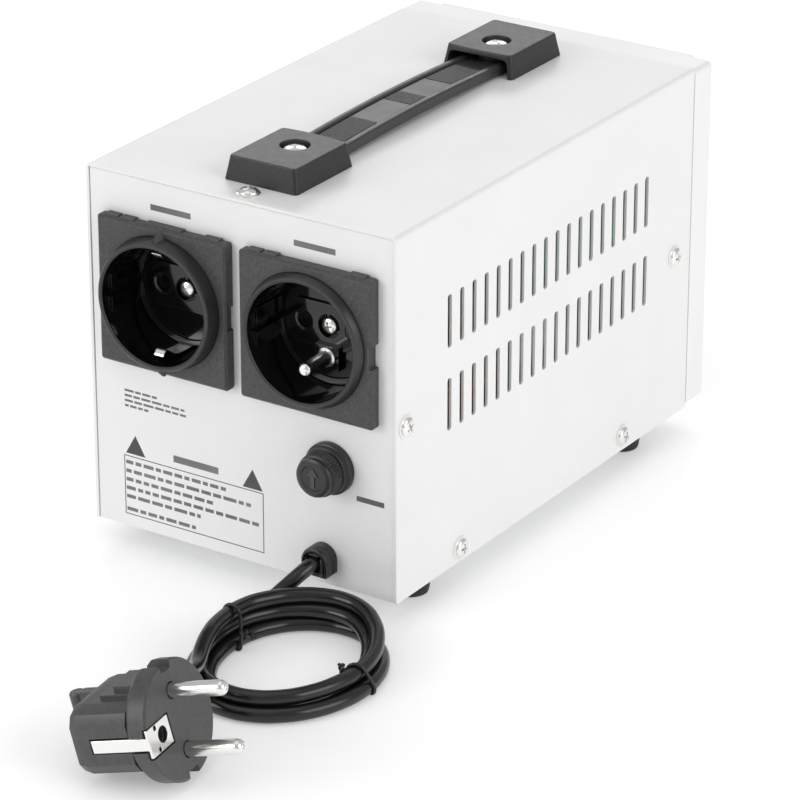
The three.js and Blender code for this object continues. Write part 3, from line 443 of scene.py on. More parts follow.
satin_black = finish(
    "satin_black", (0.014, 0.014, 0.015), 0.32, grain=(900, 0.12), tone=(0.08, 40), patch=(0.2, 60),
    edge=(0.07, 0.07, 0.07))
sheath_black = finish(
    "sheath_black", (0.009, 0.009, 0.010), 0.21, grain=(500, 0.06), tone=(0.12, 40),
    patch=(0.22, 140))
plug_rubber = finish(
    "plug_rubber", (0.062, 0.062, 0.063), 0.40, grain=(1600, 0.3), tone=(0.16, 500),
    patch=(0.2, 250), edge=(0.17, 0.17, 0.17))
foot_rubber = finish(
    "foot_rubber", (0.02, 0.02, 0.02), 0.7, grain=(1500, 0.4), tone=(0.12, 40), patch=(0.2, 60))
nickel = finish(
    "nickel", (0.86, 0.85, 0.83), 0.22, 1.0, grain=(700, 0.08), tone=(0.04, 40), patch=(0.12, 900))
zinc = finish(
    "zinc_plate", (0.62, 0.63, 0.64), 0.34, 1.0, grain=(260, 0.1), tone=(0.12, 40),
    patch=(0.3, 120))
print("finishes:", len(bpy.data.materials))

# %% [markdown]
# ## Bench and light
# A pale bench top and four wide soft lights: above, at each shown side, and behind. The case is
# white on white, so its faces are told apart by slow gradients; the one behind glances off the
# tops of the black pieces. The plain view transform keeps a white surface white.

# %% Bench and light
BENCH_HALF = 4.0
bench = loft("bench", [
    [Vector((sx * BENCH_HALF, sy * BENCH_HALF, z)) for sx, sy in CORNERS]
    for z in (-0.02, -0.00002)])
bench.data.materials.append(finish(
    "bench_white", (0.90, 0.90, 0.90), 0.6, grain=(300, 0.02), tone=(0.004, 40), patch=(0.05, 60),
    glow=0.30))

world = bpy.data.worlds.new("studio")
bpy.context.scene.world = world
world.use_nodes = True
sky = world.node_tree.nodes["Background"].inputs
sky["Color"].default_value = (1.0, 1.0, 1.0, 1)
sky["Strength"].default_value = 0.52


def soft_light(name, place, aim, size, watts):
    data = bpy.data.lights.new(name, "AREA")
    data.shape = "RECTANGLE"
    data.size, data.size_y = size
    data.energy = watts
    lamp = placed(name, data)
    lamp.location = place
    lamp.rotation_euler = (Vector(aim) - Vector(place)).to_track_quat("-Z", "Y").to_euler()


soft_light("overhead", (0.1, 0.4, 1.7), (0, 0.05, 0.05), (1.6, 1.6), 3.6)
soft_light("socket_side", (0.9, 1.5, 0.7), (0, 0.1, 0.06), (1.0, 0.8), 9)
soft_light("vent_side", (-1.6, 0.1, 0.8), (0, 0, 0.06), (1.2, 1.0), 9.5)
soft_light("behind", (1.1, -1.7, 1.15), (0, 0, 0.1), (1.3, 0.6), 8)

# %% [markdown]
# ## Mains lead
# One length of round black flex: straight out of the bushing, down to the bench, three turns held
# by two wire ties, then over the top turn to the plug. The leads are listed points. A turn
# is four marks, at the left, front, right and back, with a quarter of an ellipse between them, so
# the strands stay a diameter apart where the marks do.

# %% Route of the lead
CORD_D = 5.0 * MM


def at(centre, x=0, y=0, z=0):
    """A point in mm from a centre's own axis and the cover's rear edge."""
    return Vector((centre.x + x * MM, REAR + y * MM, centre.z + z * MM))


def from_rear(x, dy, z):
    return Vector((x * MM, REAR + dy * MM, z * MM))


lead_out = [at(BUSHING) + Vector(p) * MM for p in (
    (0, 2, 0), (0.2, 6.0, -0.2), (0.9, 9.9, -1.3), (2.4, 13.3, -3.3), (4.6, 16.4, -6.1),
    (7.1, 19.8, -9.2), (9.5, 24.0, -12.1), (11.4, 29.2, -14.1), (12.4, 35.0, -14.8))]
plug_lead = [from_rear(*p) for p in (
    (-24.4, 49, 12.6), (-26, 55.6, 12.2), (-28.2, 61.8, 11.2), (-30.9, 67.6, 10.2),
    (-33.6, 73, 10.4), (-36.0, 77.6, 12), (-38.0, 81.7, 13.8), (-39.2, 84.6, 15),
    (-39.9, 86.6, 15.7))]
marks = [from_rear(*p) for p in (
    (-18.7, 39.6, 2.6), (-48, 77.9, 2.5), (-76, 44.6, 2.5), (-49, 13.2, 2.5),
    (-24.6, 40.6, 2.5), (-48, 72.8, 2.5), (-70.6, 44.6, 2.5), (-47.5, 14.2, 7.3),
    (-21.9, 41.6, 6.9), (-48.5, 75.4, 6.9), (-73.2, 43.6, 7.2), (-48, 12.4, 11.8),
    (-22.8, 42.6, 12.4))]
QUARTER_STEPS = 5
coil = []
for index, (start, end) in enumerate(zip(marks, marks[1:])):
    for step in range(1, QUARTER_STEPS + 1):
        share = step / QUARTER_STEPS
        turn = math.radians(90 * share)
        ease = (1 - math.cos(math.pi * share)) / 2
        if index % 2 == 0:
            x = end.x + (start.x - end.x) * math.cos(turn)
            y = start.y + (end.y - start.y) * math.sin(turn)
        else:
            x = start.x + (end.x - start.x) * math.sin(turn)
            y = end.y + (start.y - end.y) * math.cos(turn)
        coil.append(Vector((x, y, start.z + (end.z - start.z) * ease)))
route = lead_out + coil[:-1] + plug_lead
route_length = sum((b - a).length for a, b in zip(route, route[1:]))
print("route points:", len(route), "length, mm:", round(route_length / MM, 1))

# %% [markdown]
# The lead itself is a Bezier curve with automatic handles and a round section. A curve keeps its
# centreline, so its length can be measured, and one open spline is one continuous cable.

# %% Lead as a curve
def cable(name, points, diameter, material, resolution=6, ring=6, cyclic=False):
    curve = bpy.data.curves.new(name, "CURVE")
    curve.dimensions = "3D"
    curve.bevel_depth = diameter / 2
    curve.bevel_resolution = ring
    curve.resolution_u = resolution
    curve.use_fill_caps = True
    spline = curve.splines.new("BEZIER")
    spline.bezier_points.add(len(points) - 1)
    for knot, point in zip(spline.bezier_points, points):
        knot.co = point
        knot.handle_left_type = knot.handle_right_type = "AUTO"
    spline.use_cyclic_u = cyclic
    curve.materials.append(material)
    return placed(name, curve)


lead = cable("mains_lead", route, CORD_D, sheath_black)
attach(lead, "case")
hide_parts("cord_lead_out", "cord_coil", "cord_plug_lead")

# %% [markdown]
# ## Wire ties
# Two twist ties bind the turns. Each is a flat plastic ribbon with a wire in it, wrapped once
# round the bundle and twisted into a short tail. A closed curve of a thin round section follows the
# bundle's outline, and a second short one winds round itself for the tail.

# %% Wire ties
TIE_D = 1.1 * MM
TIE_POINTS = 28


def pulled_tight(strands, reach, count=TIE_POINTS):
    """Evenly spaced points of a wire pulled tight round strands at (across, up) places."""
    outline = []
    for i in range(72):
        a = 2 * math.pi * i / 72
        way = Vector((math.cos(a), math.sin(a)))
        outline.append(max(strands, key=lambda strand: strand.dot(way)) + way * reach)
    outline.append(outline[0])
    whole = sum((b - a).length for a, b in zip(outline, outline[1:]))
    points, walked = [], 0.0
    for a, b in zip(outline, outline[1:]):
        step = (b - a).length
        while len(points) < count and whole * len(points) / count <= walked + step:
            points.append(a.lerp(b, (whole * len(points) / count - walked) / step))
        walked += step
    return points


def wire_tie(name, centre, across, tail):
    """A loop in the plane of `across` and up, with a twisted tail starting at its inner side."""
    across = Vector(across).normalized()
    lean_way = Vector((-across.y, across.x, 0))
    strands = []
    for a, b in zip(route, route[1:]):
        before, after = (a - centre).dot(lean_way), (b - centre).dot(lean_way)
        if before * after < 0:
            crossing = a.lerp(b, before / (before - after))
            strand = Vector(((crossing - centre).dot(across), crossing.z))
            if abs(strand.x) < 3 * CORD_D:
                strands.append(strand)
    loop = []
    for i, (reach, rise) in enumerate(pulled_tight(strands, (CORD_D + TIE_D) / 2)):
        lean = lean_way * (0.9 * MM * math.sin(2 * math.pi * i / TIE_POINTS + 0.6))
        loop.append(centre + across * reach + lean + Vector((0, 0, max(rise, TIE_D * 0.6))))
    ring = cable(name, loop, TIE_D, satin_black, ring=3, cyclic=True)
    root = loop[3]
    heading = Vector(tail)
    side = heading.cross(Vector((0, 0, 1))).normalized()
    up = heading.cross(side).normalized()
    twist = []
    for share in [i / 16 for i in range(17)]:
        a = share * 5 * math.pi
        twist.append(root + heading * share + (side * math.cos(a) + up * math.sin(a)) * 0.7 * MM)
    knot = cable(name + "_twist", twist, TIE_D * 0.9, satin_black, ring=3)
    print(name, "holds", len(strands), "strands")
    for obj in (ring, knot):
        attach(obj, "case")


wire_tie("tie_left", from_rear(-21.9, 40.6, 0), (-1, 0.12, 0), Vector((-4.2, -2, -2.4)) * MM)
wire_tie("tie_right", from_rear(-73, 43.6, 0), (1, 0.1, 0), Vector((3.4, -3.6, 1.2)) * MM)

# %% [markdown]
# ## Plug
# An angled earthed plug lies on the bench on the rim of its disc. It is built in its own axes,
# with x towards the earth contact, y along the pin pair and z along the pins, and then turned into
# place with one matrix. The disc carries two side notches, the block behind it takes the lead in
# at one side, and a folded pull grip stands at the back.

# %% Plug axes
PIN_TILT = math.radians(16)
PIN_YAW = math.radians(7)
flat = math.cos(PIN_TILT)
pins_way = Vector((-flat * math.cos(PIN_YAW), -flat * math.sin(PIN_YAW), math.sin(PIN_TILT)))
earth_way = Vector((-math.sin(PIN_YAW), math.cos(PIN_YAW), 0))
pair_way = pins_way.cross(earth_way)
plug_turn = Matrix((earth_way, pair_way, pins_way)).transposed().to_4x4()
plug_place = Matrix.Translation(from_rear(-60, 117, 20.05)) @ plug_turn


def to_plug(obj):
    obj.data.transform(plug_place)
    return obj


def mm_block(name, x0, x1, y0, y1, z0, z1):
    return box_between(name, (x0 * MM, y0 * MM, z0 * MM), (x1 * MM, y1 * MM, z1 * MM))


# %% Plug body
PIN_HALF = 9.5
disc = turned("plug_body_shell", in_mm(
    (0, -8.2), (16.6, -8.2), (18.3, -6.4), (18.5, -5.2), (18.5, -0.8), (17.9, -0.1), (0, -0.1)),
    ORIGIN, "Z", sides=96)
for side in (-1, 1):
    notch = extruded("notch", in_mm(
        (-2.6, side * 15.6), (2.6, side * 15.6), (3.4, side * 20), (-3.4, side * 20))[::side],
        -9.5 * MM, 1 * MM, "Z")
    disc = cut(disc, notch)
block_outline = in_mm(
    (-13.4, -8), (-10.4, -11.2), (11, -11.2), (15, -9.4), (17, -6.2), (17.2, 6.2), (15, 9.4),
    (11, 11.2), (-10.4, 11.2), (-13.4, 8))
back_outline = [(u * 0.94, v * 0.93) for u, v in block_outline]
block = loft("block", [[Vector((u, v, z * MM)) for u, v in outline] for outline, z in (
    (back_outline, -27.8), (block_outline, -24.5), (block_outline, -7.6))])
step = mm_block("step", -9.4, 8.5, -12.6, -8, -19.5, -8)
ear = mm_block("ear", -4.5, 6.5, -14.4, -8, -15.5, -9)
neck = turned("neck", in_mm(
    (0, 10), (7.2, 10), (6.6, 15), (5.0, 26), (4.3, 31.4), (3.5, 31.9), (0, 31.9)),
    ORIGIN, "Z", sides=48)
sideways = Matrix.Rotation(math.radians(-90), 4, "Y")
neck.data.transform(Matrix.Translation((0, 0, -17 * MM)) @ sideways)
body = weld_on(disc, block, step, ear, neck)
bores = [rod("bore", 2.7, -3.4, 2, Vector((0, y * MM, 0))) for y in (-PIN_HALF, PIN_HALF)]
bores.append(rod("earth_bore", 2.5, -16, 1, Vector((10 * MM, 0, 0))))
earth_pocket = mm_block("pocket", 5.0, 19, -5, 5, -1.7, 1)
strip_slot = mm_block("slot", 15.7, 19.5, -2.5, 2.5, -21.4, 1)
body = cut(body, *bores, earth_pocket, strip_slot)
to_plug(body)
fit(body, "case", "black_rubber", plug_rubber, "plug_body", edge=0.5, segments=3)

# %% [markdown]
# The grip is a flap with a finger hole and a ribbed bar along its free edge. It is lofted from a
# few sections and the ribs are real ridges, since a thumb has to hold on to them.

# %% Pull grip
flap = extruded("plug_grip", in_mm(
    (-27.4, -8.4), (-36, -8.4), (-38.4, -7), (-38.4, 7), (-36, 8.4), (-27.4, 8.4)),
    -1.7 * MM, 1.7 * MM, "Z")
flap = cut(flap, extruded("hole", circle(4.6 * MM, 36, -32 * MM), -3 * MM, 3 * MM, "Z"))
rim = turned("rim", in_mm((0, -8.2), (2.1, -8.2), (2.5, -7.6), (2.5, 7.6), (2.1, 8.2), (0, 8.2)),
             Vector((-38 * MM, 0, 0)), "Y", sides=32)
RIB_PITCH = 1.55
ribs = [mm_block("rib", -35.13 + i * RIB_PITCH, -34.47 + i * RIB_PITCH, -6.9, 6.9, -2.3, -1.23)
        for i in range(3)]
flap = weld_on(flap, rim, *ribs)
flap.data.transform(Matrix(((0, 0, 1, -6.2 * MM), (0, 1, 0, 0), (1, 0, 0, 0), (0, 0, 0, 1))))
to_plug(flap)
fit(flap, "case", "black_rubber", plug_rubber, edge=0.25)

# %% [markdown]
# Pins are turned brass with a bright nickel skin and a rounded nose; a small blind dimple is left
# in each nose by the lathe. The earth contact is a bent strip: a plate on the face with a hole for
# a socket's earth pin, two small square windows, and a leg down the side.

# %% Pins and earth contact
for where, y in (("upper", -PIN_HALF), ("lower", PIN_HALF)):
    pin = turned(f"plug_pin_{where}_turned", in_mm(
        (0, -3), (2.4, -3), (2.4, 16.9), (2.25, 17.9), (1.8, 18.6), (1.1, 18.95), (0.75, 19),
        (0.6, 18.6), (0, 18.5)), Vector((0, y * MM, 0)), "Z", sides=48)
    to_plug(pin)
    fit(pin, "case", "bright_nickel", nickel, f"plug_pin_{where}")
strip = weld_on(mm_block("plug_earth_strip", 5.6, 17.5, -4.4, 4.4, -1.2, -0.2),
                mm_block("leg", 16.2, 17.5, -2, 2, -20.6, -0.3))
windows = [mm_block("window", 12.4, 13.8, y - 0.7, y + 0.7, -3, 2) for y in (-3.4, 3.4)]
strip = cut(strip, *windows, rod("hole", 2.5, -4, 1, Vector((10 * MM, 0, 0))))
to_plug(strip)
fit(strip, "case", "bright_nickel", nickel, "plug_earth_contact", edge=0.15)

# %% [markdown]
# With the plug made, the lead's first point is shown: the place where it leaves the case.

tuple(route[0])

# %% [markdown]
# ## Frame nodes with a better surface
# Sheet parts and mouldings whose CAD shape is right keep their nodes. Three modifiers improve
# them without touching the mesh: a weld joins the facets, a planar dissolve gives clean faces, and
# a bevel breaks the edges. A last small node tree shades smooth below a set angle.

# %% Node finisher
smooth = bpy.data.node_groups.new("smooth_below_angle", "GeometryNodeTree")
smooth.interface.new_socket(name="Mesh", in_out="INPUT", socket_type="NodeSocketGeometry")
smooth.interface.new_socket(name="Mesh", in_out="OUTPUT", socket_type="NodeSocketGeometry")
entry = smooth.nodes.new("NodeGroupInput")
leave = smooth.nodes.new("NodeGroupOutput")
all_smooth = smooth.nodes.new("GeometryNodeSetShadeSmooth")
all_smooth.domain = "FACE"
sharp = smooth.nodes.new("GeometryNodeSetShadeSmooth")
sharp.domain = "EDGE"
sharp.inputs["Shade Smooth"].default_value = False
edge_angle = smooth.nodes.new("GeometryNodeInputMeshEdgeAngle")
steep = smooth.nodes.new("FunctionNodeCompare")
steep.inputs[1].default_value = SHARP
smooth.links.new(edge_angle.outputs[0], steep.inputs[0])
smooth.links.new(entry.outputs[0], all_smooth.inputs["Geometry"])
smooth.links.new(all_smooth.outputs[0], sharp.inputs["Geometry"])
smooth.links.new(steep.outputs[0], sharp.inputs["Selection"])
smooth.links.new(sharp.outputs[0], leave.inputs[0])


def keep(node_name, material, edge=0.0, segments=2):
    obj = frame["nodes"][node_name]
    obj.data.materials.clear()
    obj.data.materials.append(material)
    if edge:
        weld = obj.modifiers.new("weld", "WELD")
        weld.merge_threshold = 2e-6
        flat = obj.modifiers.new("flat", "DECIMATE")
        flat.decimate_type = "DISSOLVE"
        flat.angle_limit = math.radians(0.5)
        soften(obj, edge * MM, segments)
    shade = obj.modifiers.new("shade", "NODES")
    shade.node_group = smooth
    return level_normals(obj)


# %% [markdown]
# ## Case
# The cover is one steel sheet bent over the top and both sides, powder coated after punching,
# so even the vent slots have soft rims. The panel, pan and bezel are the other three shells.

# %% Case shells
keep("top_cover", powder_coat, 0.22)
keep("rear_panel", powder_coat)
keep("front_bezel", bezel_plastic, 0.5, 3)
keep("base_pan", zinc, 0.2)

# %% [markdown]
# ## Print on the socket panel
# Silk-screen ink is a thin layer of one colour. Here it is a thin raised layer too: short bars
# stand for words, an outline for the notice, and two dark triangles for its signs.
# The bar lengths come from a seeded random generator, so every run gives the same print.

# %% Panel print
ink = finish("screen_ink", (0.06, 0.06, 0.061), 0.55, grain=(3000, 0.2), tone=(0.25, 40))
pale_ink = finish("pale_ink", (0.16, 0.16, 0.162), 0.55, grain=(3000, 0.2), tone=(0.35, 40))
INK = 0.03 * MM
CASE_FOOT = COVER_LOW.z


def prism(bm, first, second):
    """Close two rings of points into a small solid."""
    a, b = [[bm.verts.new(point) for point in ring] for ring in (first, second)]
    bm.faces.new(a)
    bm.faces.new(b[::-1])
    for i in range(len(a)):
        j = (i + 1) % len(a)
        bm.faces.new((a[i], a[j], b[j], b[i]))


def layer(name, shapes, material):
    """Flat outlines of (x, z), in mm from the panel's middle and the cover's lower edge."""
    bm = bmesh.new()
    for shape in shapes:
        prism(bm, *[[(x * MM, y, CASE_FOOT + z * MM) for x, z in shape]
                    for y in (PANEL, PANEL + INK)])
    bmesh.ops.recalc_face_normals(bm, faces=bm.faces)
    return fit(mesh_object(name, bm), "case", "white_powder_coat", material)


def bar(x0, x1, z0, z1):
    return [(x0, z0), (x1, z0), (x1, z1), (x0, z1)]


def words(rng, start, end, z, height, longest, gap, slope=0.0):
    """Bars from start towards -X until end, with word-like lengths; slope leans the line."""
    x, found = start, []
    while x > end:
        width = min(rng.uniform(0.35, 1.0) * longest, x - end)
        drop = slope * (start - x)
        if width > 0.5:
            found.append(bar(x - width, x, z + drop, z + drop + height))
        x -= width + gap
    return found


rng = random.Random(7)
glyphs = [bar(x - 7.8, x + 7.8, 113.6, 115.6) for x in (26.3, -28.6)]
glyphs.append(bar(9.6, 27.4, 27.6, 30.0))
glyphs.append(bar(-54.2, -43.8, 32.2, 34.0))
layer("print_headings", glyphs, pale_ink)
lines = []
notice_rows = ((6, 22.4), (-3, 19.5), (12, 16.7), (-7, 13.9), (17, 11.1), (19, 6.8))
for row, (end, z) in enumerate(notice_rows):
    lines += words(rng, 46.6, end, z - row * 0.25, 1.25, 5.2, 0.9)
for end, z in ((33.5, 48.2), (22.5, 46.4), (22.0, 44.6), (36.5, 42.8)):
    lines += words(rng, 46.4, end, z, 0.8, 4.0, 0.6)
layer("print_lines", lines, pale_ink)
low, high, left, right = 4.2, 25.4, 47.3, -8.0
RULE = 0.3
notice = [bar(right, left, high - RULE, high), bar(right, left, low, low + RULE)]
for x in (left - RULE, right):
    notice.append(bar(x, x + RULE, low + RULE, high - RULE))
signs = [[(x + 3.9, z - 3.4), (x, z + 3.4), (x - 3.9, z - 3.4)]
         for x, z in ((42.6, 29.6), (-3.8, 29.4))]
layer("print_notice", notice, ink)
layer("print_signs", signs, ink)
print("ink bars:", len(lines) + len(glyphs))

# %% [markdown]
# ## Screws
# Pan heads with a cross recess hold everything. One master is turned, the cross is cut with two
# tapered bars, and every screw is a copy of it, moved and turned to its own seat.

# %% Screw maker
def cross_screw(name, head_r, head_h, seat, axis, node_name, flange=0.0, spin=20, shank=3 * MM):
    profile = [(0, -shank), (head_r * 0.36, -shank), (head_r * 0.36, 0)]
    if flange:
        profile += [(head_r + flange, 0), (head_r + flange, 0.35 * MM), (head_r, 0.5 * MM)]
    else:
        profile += [(head_r * 0.97, 0), (head_r, head_h * 0.12)]
    rise = [(head_r * math.cos(t), head_h * (0.35 + 0.65 * math.sin(t))) for t in
            [math.radians(a) for a in (8, 22, 36, 50, 64, 78)]]
    profile += rise + [(0, head_h)]
    screw = turned(name, profile, ORIGIN, "Z", sides=48)
    arms = []
    for quarter in (0, 90):
        long, wide = head_r * 0.58, head_r * 0.13
        arm = loft("arm", [
            [Vector((sx * long * k, sy * wide * k, z)) for sx, sy in CORNERS]
            for k, z in ((0.45, head_h * 0.25), (1.0, head_h * 1.05))])
        arm.data.transform(Matrix.Rotation(math.radians(quarter + spin), 4, "Z"))
        arms.append(arm)
    cut(screw, *arms)
    turn = Vector(axis).to_track_quat("Z", "Y").to_matrix().to_4x4()
    screw.data.transform(Matrix.Translation(seat) @ turn)
    return fit(screw, "case", "bright_nickel", nickel, node_name, edge=0.06)


case_screws = [s["node"] for s in frame["record"]["subparts"] if s["node"].startswith("case_screw")]
for index, node_name in enumerate(sorted(case_screws)):
    low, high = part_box(node_name)
    centre = (low + high) / 2
    if node_name.endswith("top"):
        seat, axis = Vector((centre.x, centre.y, TOP + 0.02 * MM)), (0, 0, 1)
    else:
        way = 1 if centre.x > 0 else -1
        seat, axis = Vector((way * (SIDE + 0.02 * MM), centre.y, centre.z)), (way, 0, 0)
    cross_screw(node_name + "_pan", 3.3 * MM, 2.0 * MM, seat, axis, node_name,
                flange=0.55 * MM, spin=17 * index)
print("case screws:", len(case_screws))

# %% [markdown]
# ## Feet
# Four turned rubber feet, wider at the top, each with a recess that hides its fixing screw.

# %% Feet
for node_name in ("foot_rear_left", "foot_rear_right", "foot_front_left", "foot_front_right"):
    centre = middle(node_name)
    under = Vector((centre.x, centre.y, BENCH))
    foot = turned(node_name + "_turned", in_mm(
        (0, 3.2), (2.4, 3.2), (2.8, 2.8), (2.9, 0.5), (3.3, 0), (5.2, 0), (5.75, 0.3), (6.0, 0.9),
        (6.95, 6.9), (7.0, 7.7), (6.6, 7.95), (0, 7.95)), under, "Z", sides=64)
    fit(foot, "case", "black_rubber", foot_rubber, node_name)

# %% [markdown]
# ## Handle
# Two moulded caps hold the ends of a soft strap. Each is a tapered shell, open below and towards
# the strap, with a round boss in it for the screw. It is lofted solid with a little crown, then
# the room for the strap and the screw's counterbore are cut out of it.

# %% Handle caps
SCREW_INSET = 3.5
SCREW_FROM_MIDDLE = 59.9
for end, label in ((1, "rear"), (-1, "front")):
    node_name = "handle_cap_" + label
    centre = middle(node_name)
    rings = []
    levels = ((0.05, 28, 32, 1.4), (4.4, 26.4, 30.6, 1.4), (7.6, 25.3, 29.7, 1.4),
              (8.0, 24.9, 29.3, 1.3), (8.2, 24.2, 28.6, 1.1))
    for rise, width, length, corner in levels:
        ring = []
        for u, v in rounded(width * MM, length * MM, corner * MM, 5, between=9):
            towards_strap = -v * end
            if towards_strap > length * MM * 0.32:
                v -= end * 0.8 * MM * (1 - (2 * u / (width * MM)) ** 2) * min(1, rise / 6)
            ring.append(Vector((u, centre.y + v, TOP + rise * MM)))
        rings.append(ring)
    cap = loft(node_name + "_shell", rings)
    screw_y = centre.y - end * SCREW_INSET * MM
    wall = centre.y + end * 11.9 * MM
    mouth = centre.y - end * 18 * MM
    right_half = [(11.5, 4.6), (11.0, 5.8), (9.6, 6.3), (5, 6.45)]
    left_half = [(-u, v) for u, v in reversed(right_half)]
    room_outline = [(-12.2, -1), (12.2, -1), *right_half, (0, 6.5), *left_half]
    room = loft("room", [
        [Vector((u * MM, y, TOP + v * MM)) for u, v in room_outline] for y in (wall, mouth)])
    cap = cut(cap, room)
    cap = weld_on(cap, rod("boss", 6.3, 0.05, 7.0, Vector((0, screw_y, TOP)), "Z", 64))
    well = turned("well", in_mm((0, 4.7), (4.8, 4.7), (4.8, 7.9), (5.1, 8.3), (5.1, 12), (0, 12)),
                  Vector((0, screw_y, TOP)), "Z", sides=64)
    cap = cut(cap, well)
    fit(cap, "case", "black_plastic", spark_black, node_name, edge=0.25, segments=3)
    cross_screw("handle_screw_" + label + "_pan", 4.45 * MM, 2.4 * MM,
                Vector((0, screw_y, TOP + 5.4 * MM)), (0, 0, 1), "handle_screw_" + label,
                spin=35 * end, shank=11.8 * MM)

# %% [markdown]
# The strap is one moulded vinyl section: a rib along each side, a sunk middle and a fine groove
# beside one rib. The same section is lofted along the strap, and thinned where it goes in the caps.
# Three grained panels in the middle give the fingers a hold.

# %% Strap
# The strap's edge colour is a painted highlight along its edges.
strap_vinyl = finish(
    "strap_vinyl", (0.038, 0.038, 0.039), 0.38, grain=(1800, 0.25), tone=(0.10, 40),
    patch=(0.2, 160), edge=(0.12, 0.12, 0.12))
grip_vinyl = finish(
    "grip_vinyl", (0.020, 0.020, 0.021), 0.55, grain=(2600, 0.9), tone=(0.2, 40), patch=(0.2, 700))
STRAP_LOW, STRAP_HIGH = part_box("handle_strap")
strap_mid = (STRAP_LOW.y + STRAP_HIGH.y) / 2
section = [
    (-8.5, 0.5), (-8.5, 3.1), (-8.0, 3.8), (-7.2, 4.0), (-6.2, 3.8), (-5.7, 3.3), (-5.4, 3.1),
    (0, 3.15), (5.3, 3.1), (5.55, 2.6), (5.85, 2.6), (6.05, 3.5), (6.6, 3.9), (7.4, 4.0),
    (8.1, 3.75), (8.5, 3.1), (8.5, 0.5), (8.0, 0.0), (-8.0, 0.0)]
ends = (STRAP_HIGH.y - strap_mid) / MM
stations = [(-ends, 0.48), (-ends + 18, 0.48), (-ends + 22, 0.95)]
stations += [(y, 1.0) for y in range(-50, 51, 5)]
stations += [(ends - 22, 0.95), (ends - 18, 0.48), (ends, 0.48)]
BOW, BOW_REACH = 1.3, 50


def bow(y):
    """How far the strap arches up, in mm, at y mm from its middle."""
    return BOW * max(0.0, 1 - (y / BOW_REACH) ** 2)


strap = loft("strap_section", [
    [Vector((x * MM, strap_mid + y * MM, STRAP_LOW.z + (z * tall + bow(y)) * MM))
     for x, z in section] for y, tall in stations])
for end in (-1, 1):
    boss_y = strap_mid + end * SCREW_FROM_MIDDLE * MM
    slot_cut = extruded("slot_cut", rounded(13.6 * MM, 16.8 * MM, 6.7 * MM, 10, 0, boss_y),
                        STRAP_LOW.z - 1 * MM, STRAP_LOW.z + 6 * MM, "Z")
    strap = cut(strap, slot_cut)
fit(strap, "strap", "black_rubber", strap_vinyl, "handle_strap", edge=0.15)
for index, (near, far) in enumerate(((52, 71), (90.5, 99.5), (115, 131))):
    cross = [(-5.1, 2.9), (5.1, 2.9), (5.1, 3.2), (4.9, 3.26), (-4.9, 3.26), (-5.1, 3.2)]
    steps = [near + (far - near) * i / 8 for i in range(9)]
    panel = loft(f"strap_grip_{index + 1}", [
        [Vector((x * MM, REAR - y * MM, STRAP_LOW.z + (z + bow((REAR - strap_mid) / MM - y)) * MM))
         for x, z in cross] for y in steps])
    fit(panel, "strap", "black_rubber", grip_vinyl, edge=0.05)
print("strap length, mm:", round(2 * ends, 1))

# %% [markdown]
# ## Mains sockets
# Each socket is a square plate with a round collar and a deep recess. The plate is spark-textured
# and dull, the collar satin and the recess polished, so they are three pieces. The cup is turned
# in one profile: up its outside, over the rim, down the wall and across the floor.

# %% Socket maker
# The collar's edge colour is a painted highlight along its rim.
collar_black = finish(
    "collar_black", (0.020, 0.020, 0.021), 0.36, grain=(1500, 0.2), tone=(0.12, 40),
    patch=(0.15, 300), edge=(0.16, 0.16, 0.16), highlight_width=0.0005)
FLOOR = -10.5
PLATE_FRONT = 4.0


def socket_block(name, centre, x0, x1, y0, y1, z0, z1):
    return box_between(name, at(centre, x0, y0, z0), at(centre, x1, y1, z1))


def socket_collar(label, centre, proud):
    return turned(label + "_socket_collar", in_mm(
        (20.9, -1), (22.4, -1), (22.45, 3.6), (22.3, 4.6), (21.75, proud - 1.2),
        (21.5, proud - 0.35), (21.1, proud), (20.6, proud), (20.3, proud - 0.3),
        (20.3, proud - 1), (20.9, 2)),
        at(centre), "Y", sides=128, closed=True)


def socket_plate(label, centre):
    outline = rounded(50 * MM, 50 * MM, 0.9 * MM, 4)
    back = (PANEL - REAR) / MM + 0.05
    rings = []
    for y, inset in ((back, 0.25), (back + 0.5, 0), (PLATE_FRONT - 0.9, 0), (PLATE_FRONT, 0.9)):
        scale = (25 - inset) / 25
        rings.append([Vector((centre.x + u * scale, REAR + y * MM, centre.z + v * scale))
                      for u, v in outline])
    plate = loft(label + "_socket_plate", rings)
    plate = cut(plate, rod("opening", 22.5, back - 1, PLATE_FRONT + 1, at(centre), "Y", 96))
    tabs = [(17.5, 22.5), (11.5, 16.5), (-21.5, -15.5)]
    if label == "left":
        tabs.append((-7, 7))
    for x0, x1 in tabs:
        tab = socket_block("tab", centre, x0, x1, back + 0.2, PLATE_FRONT - 1.3, 24.6, 25.5)
        plate = weld_on(plate, tab)
    deep, front = (-24.1, PLATE_FRONT - 1.0) if label == "left" else (-23.7, PLATE_FRONT + 1)
    notch = socket_block("notch", centre, -26, deep, back - 1, front, -4.6, 3.4)
    return cut(plate, notch)


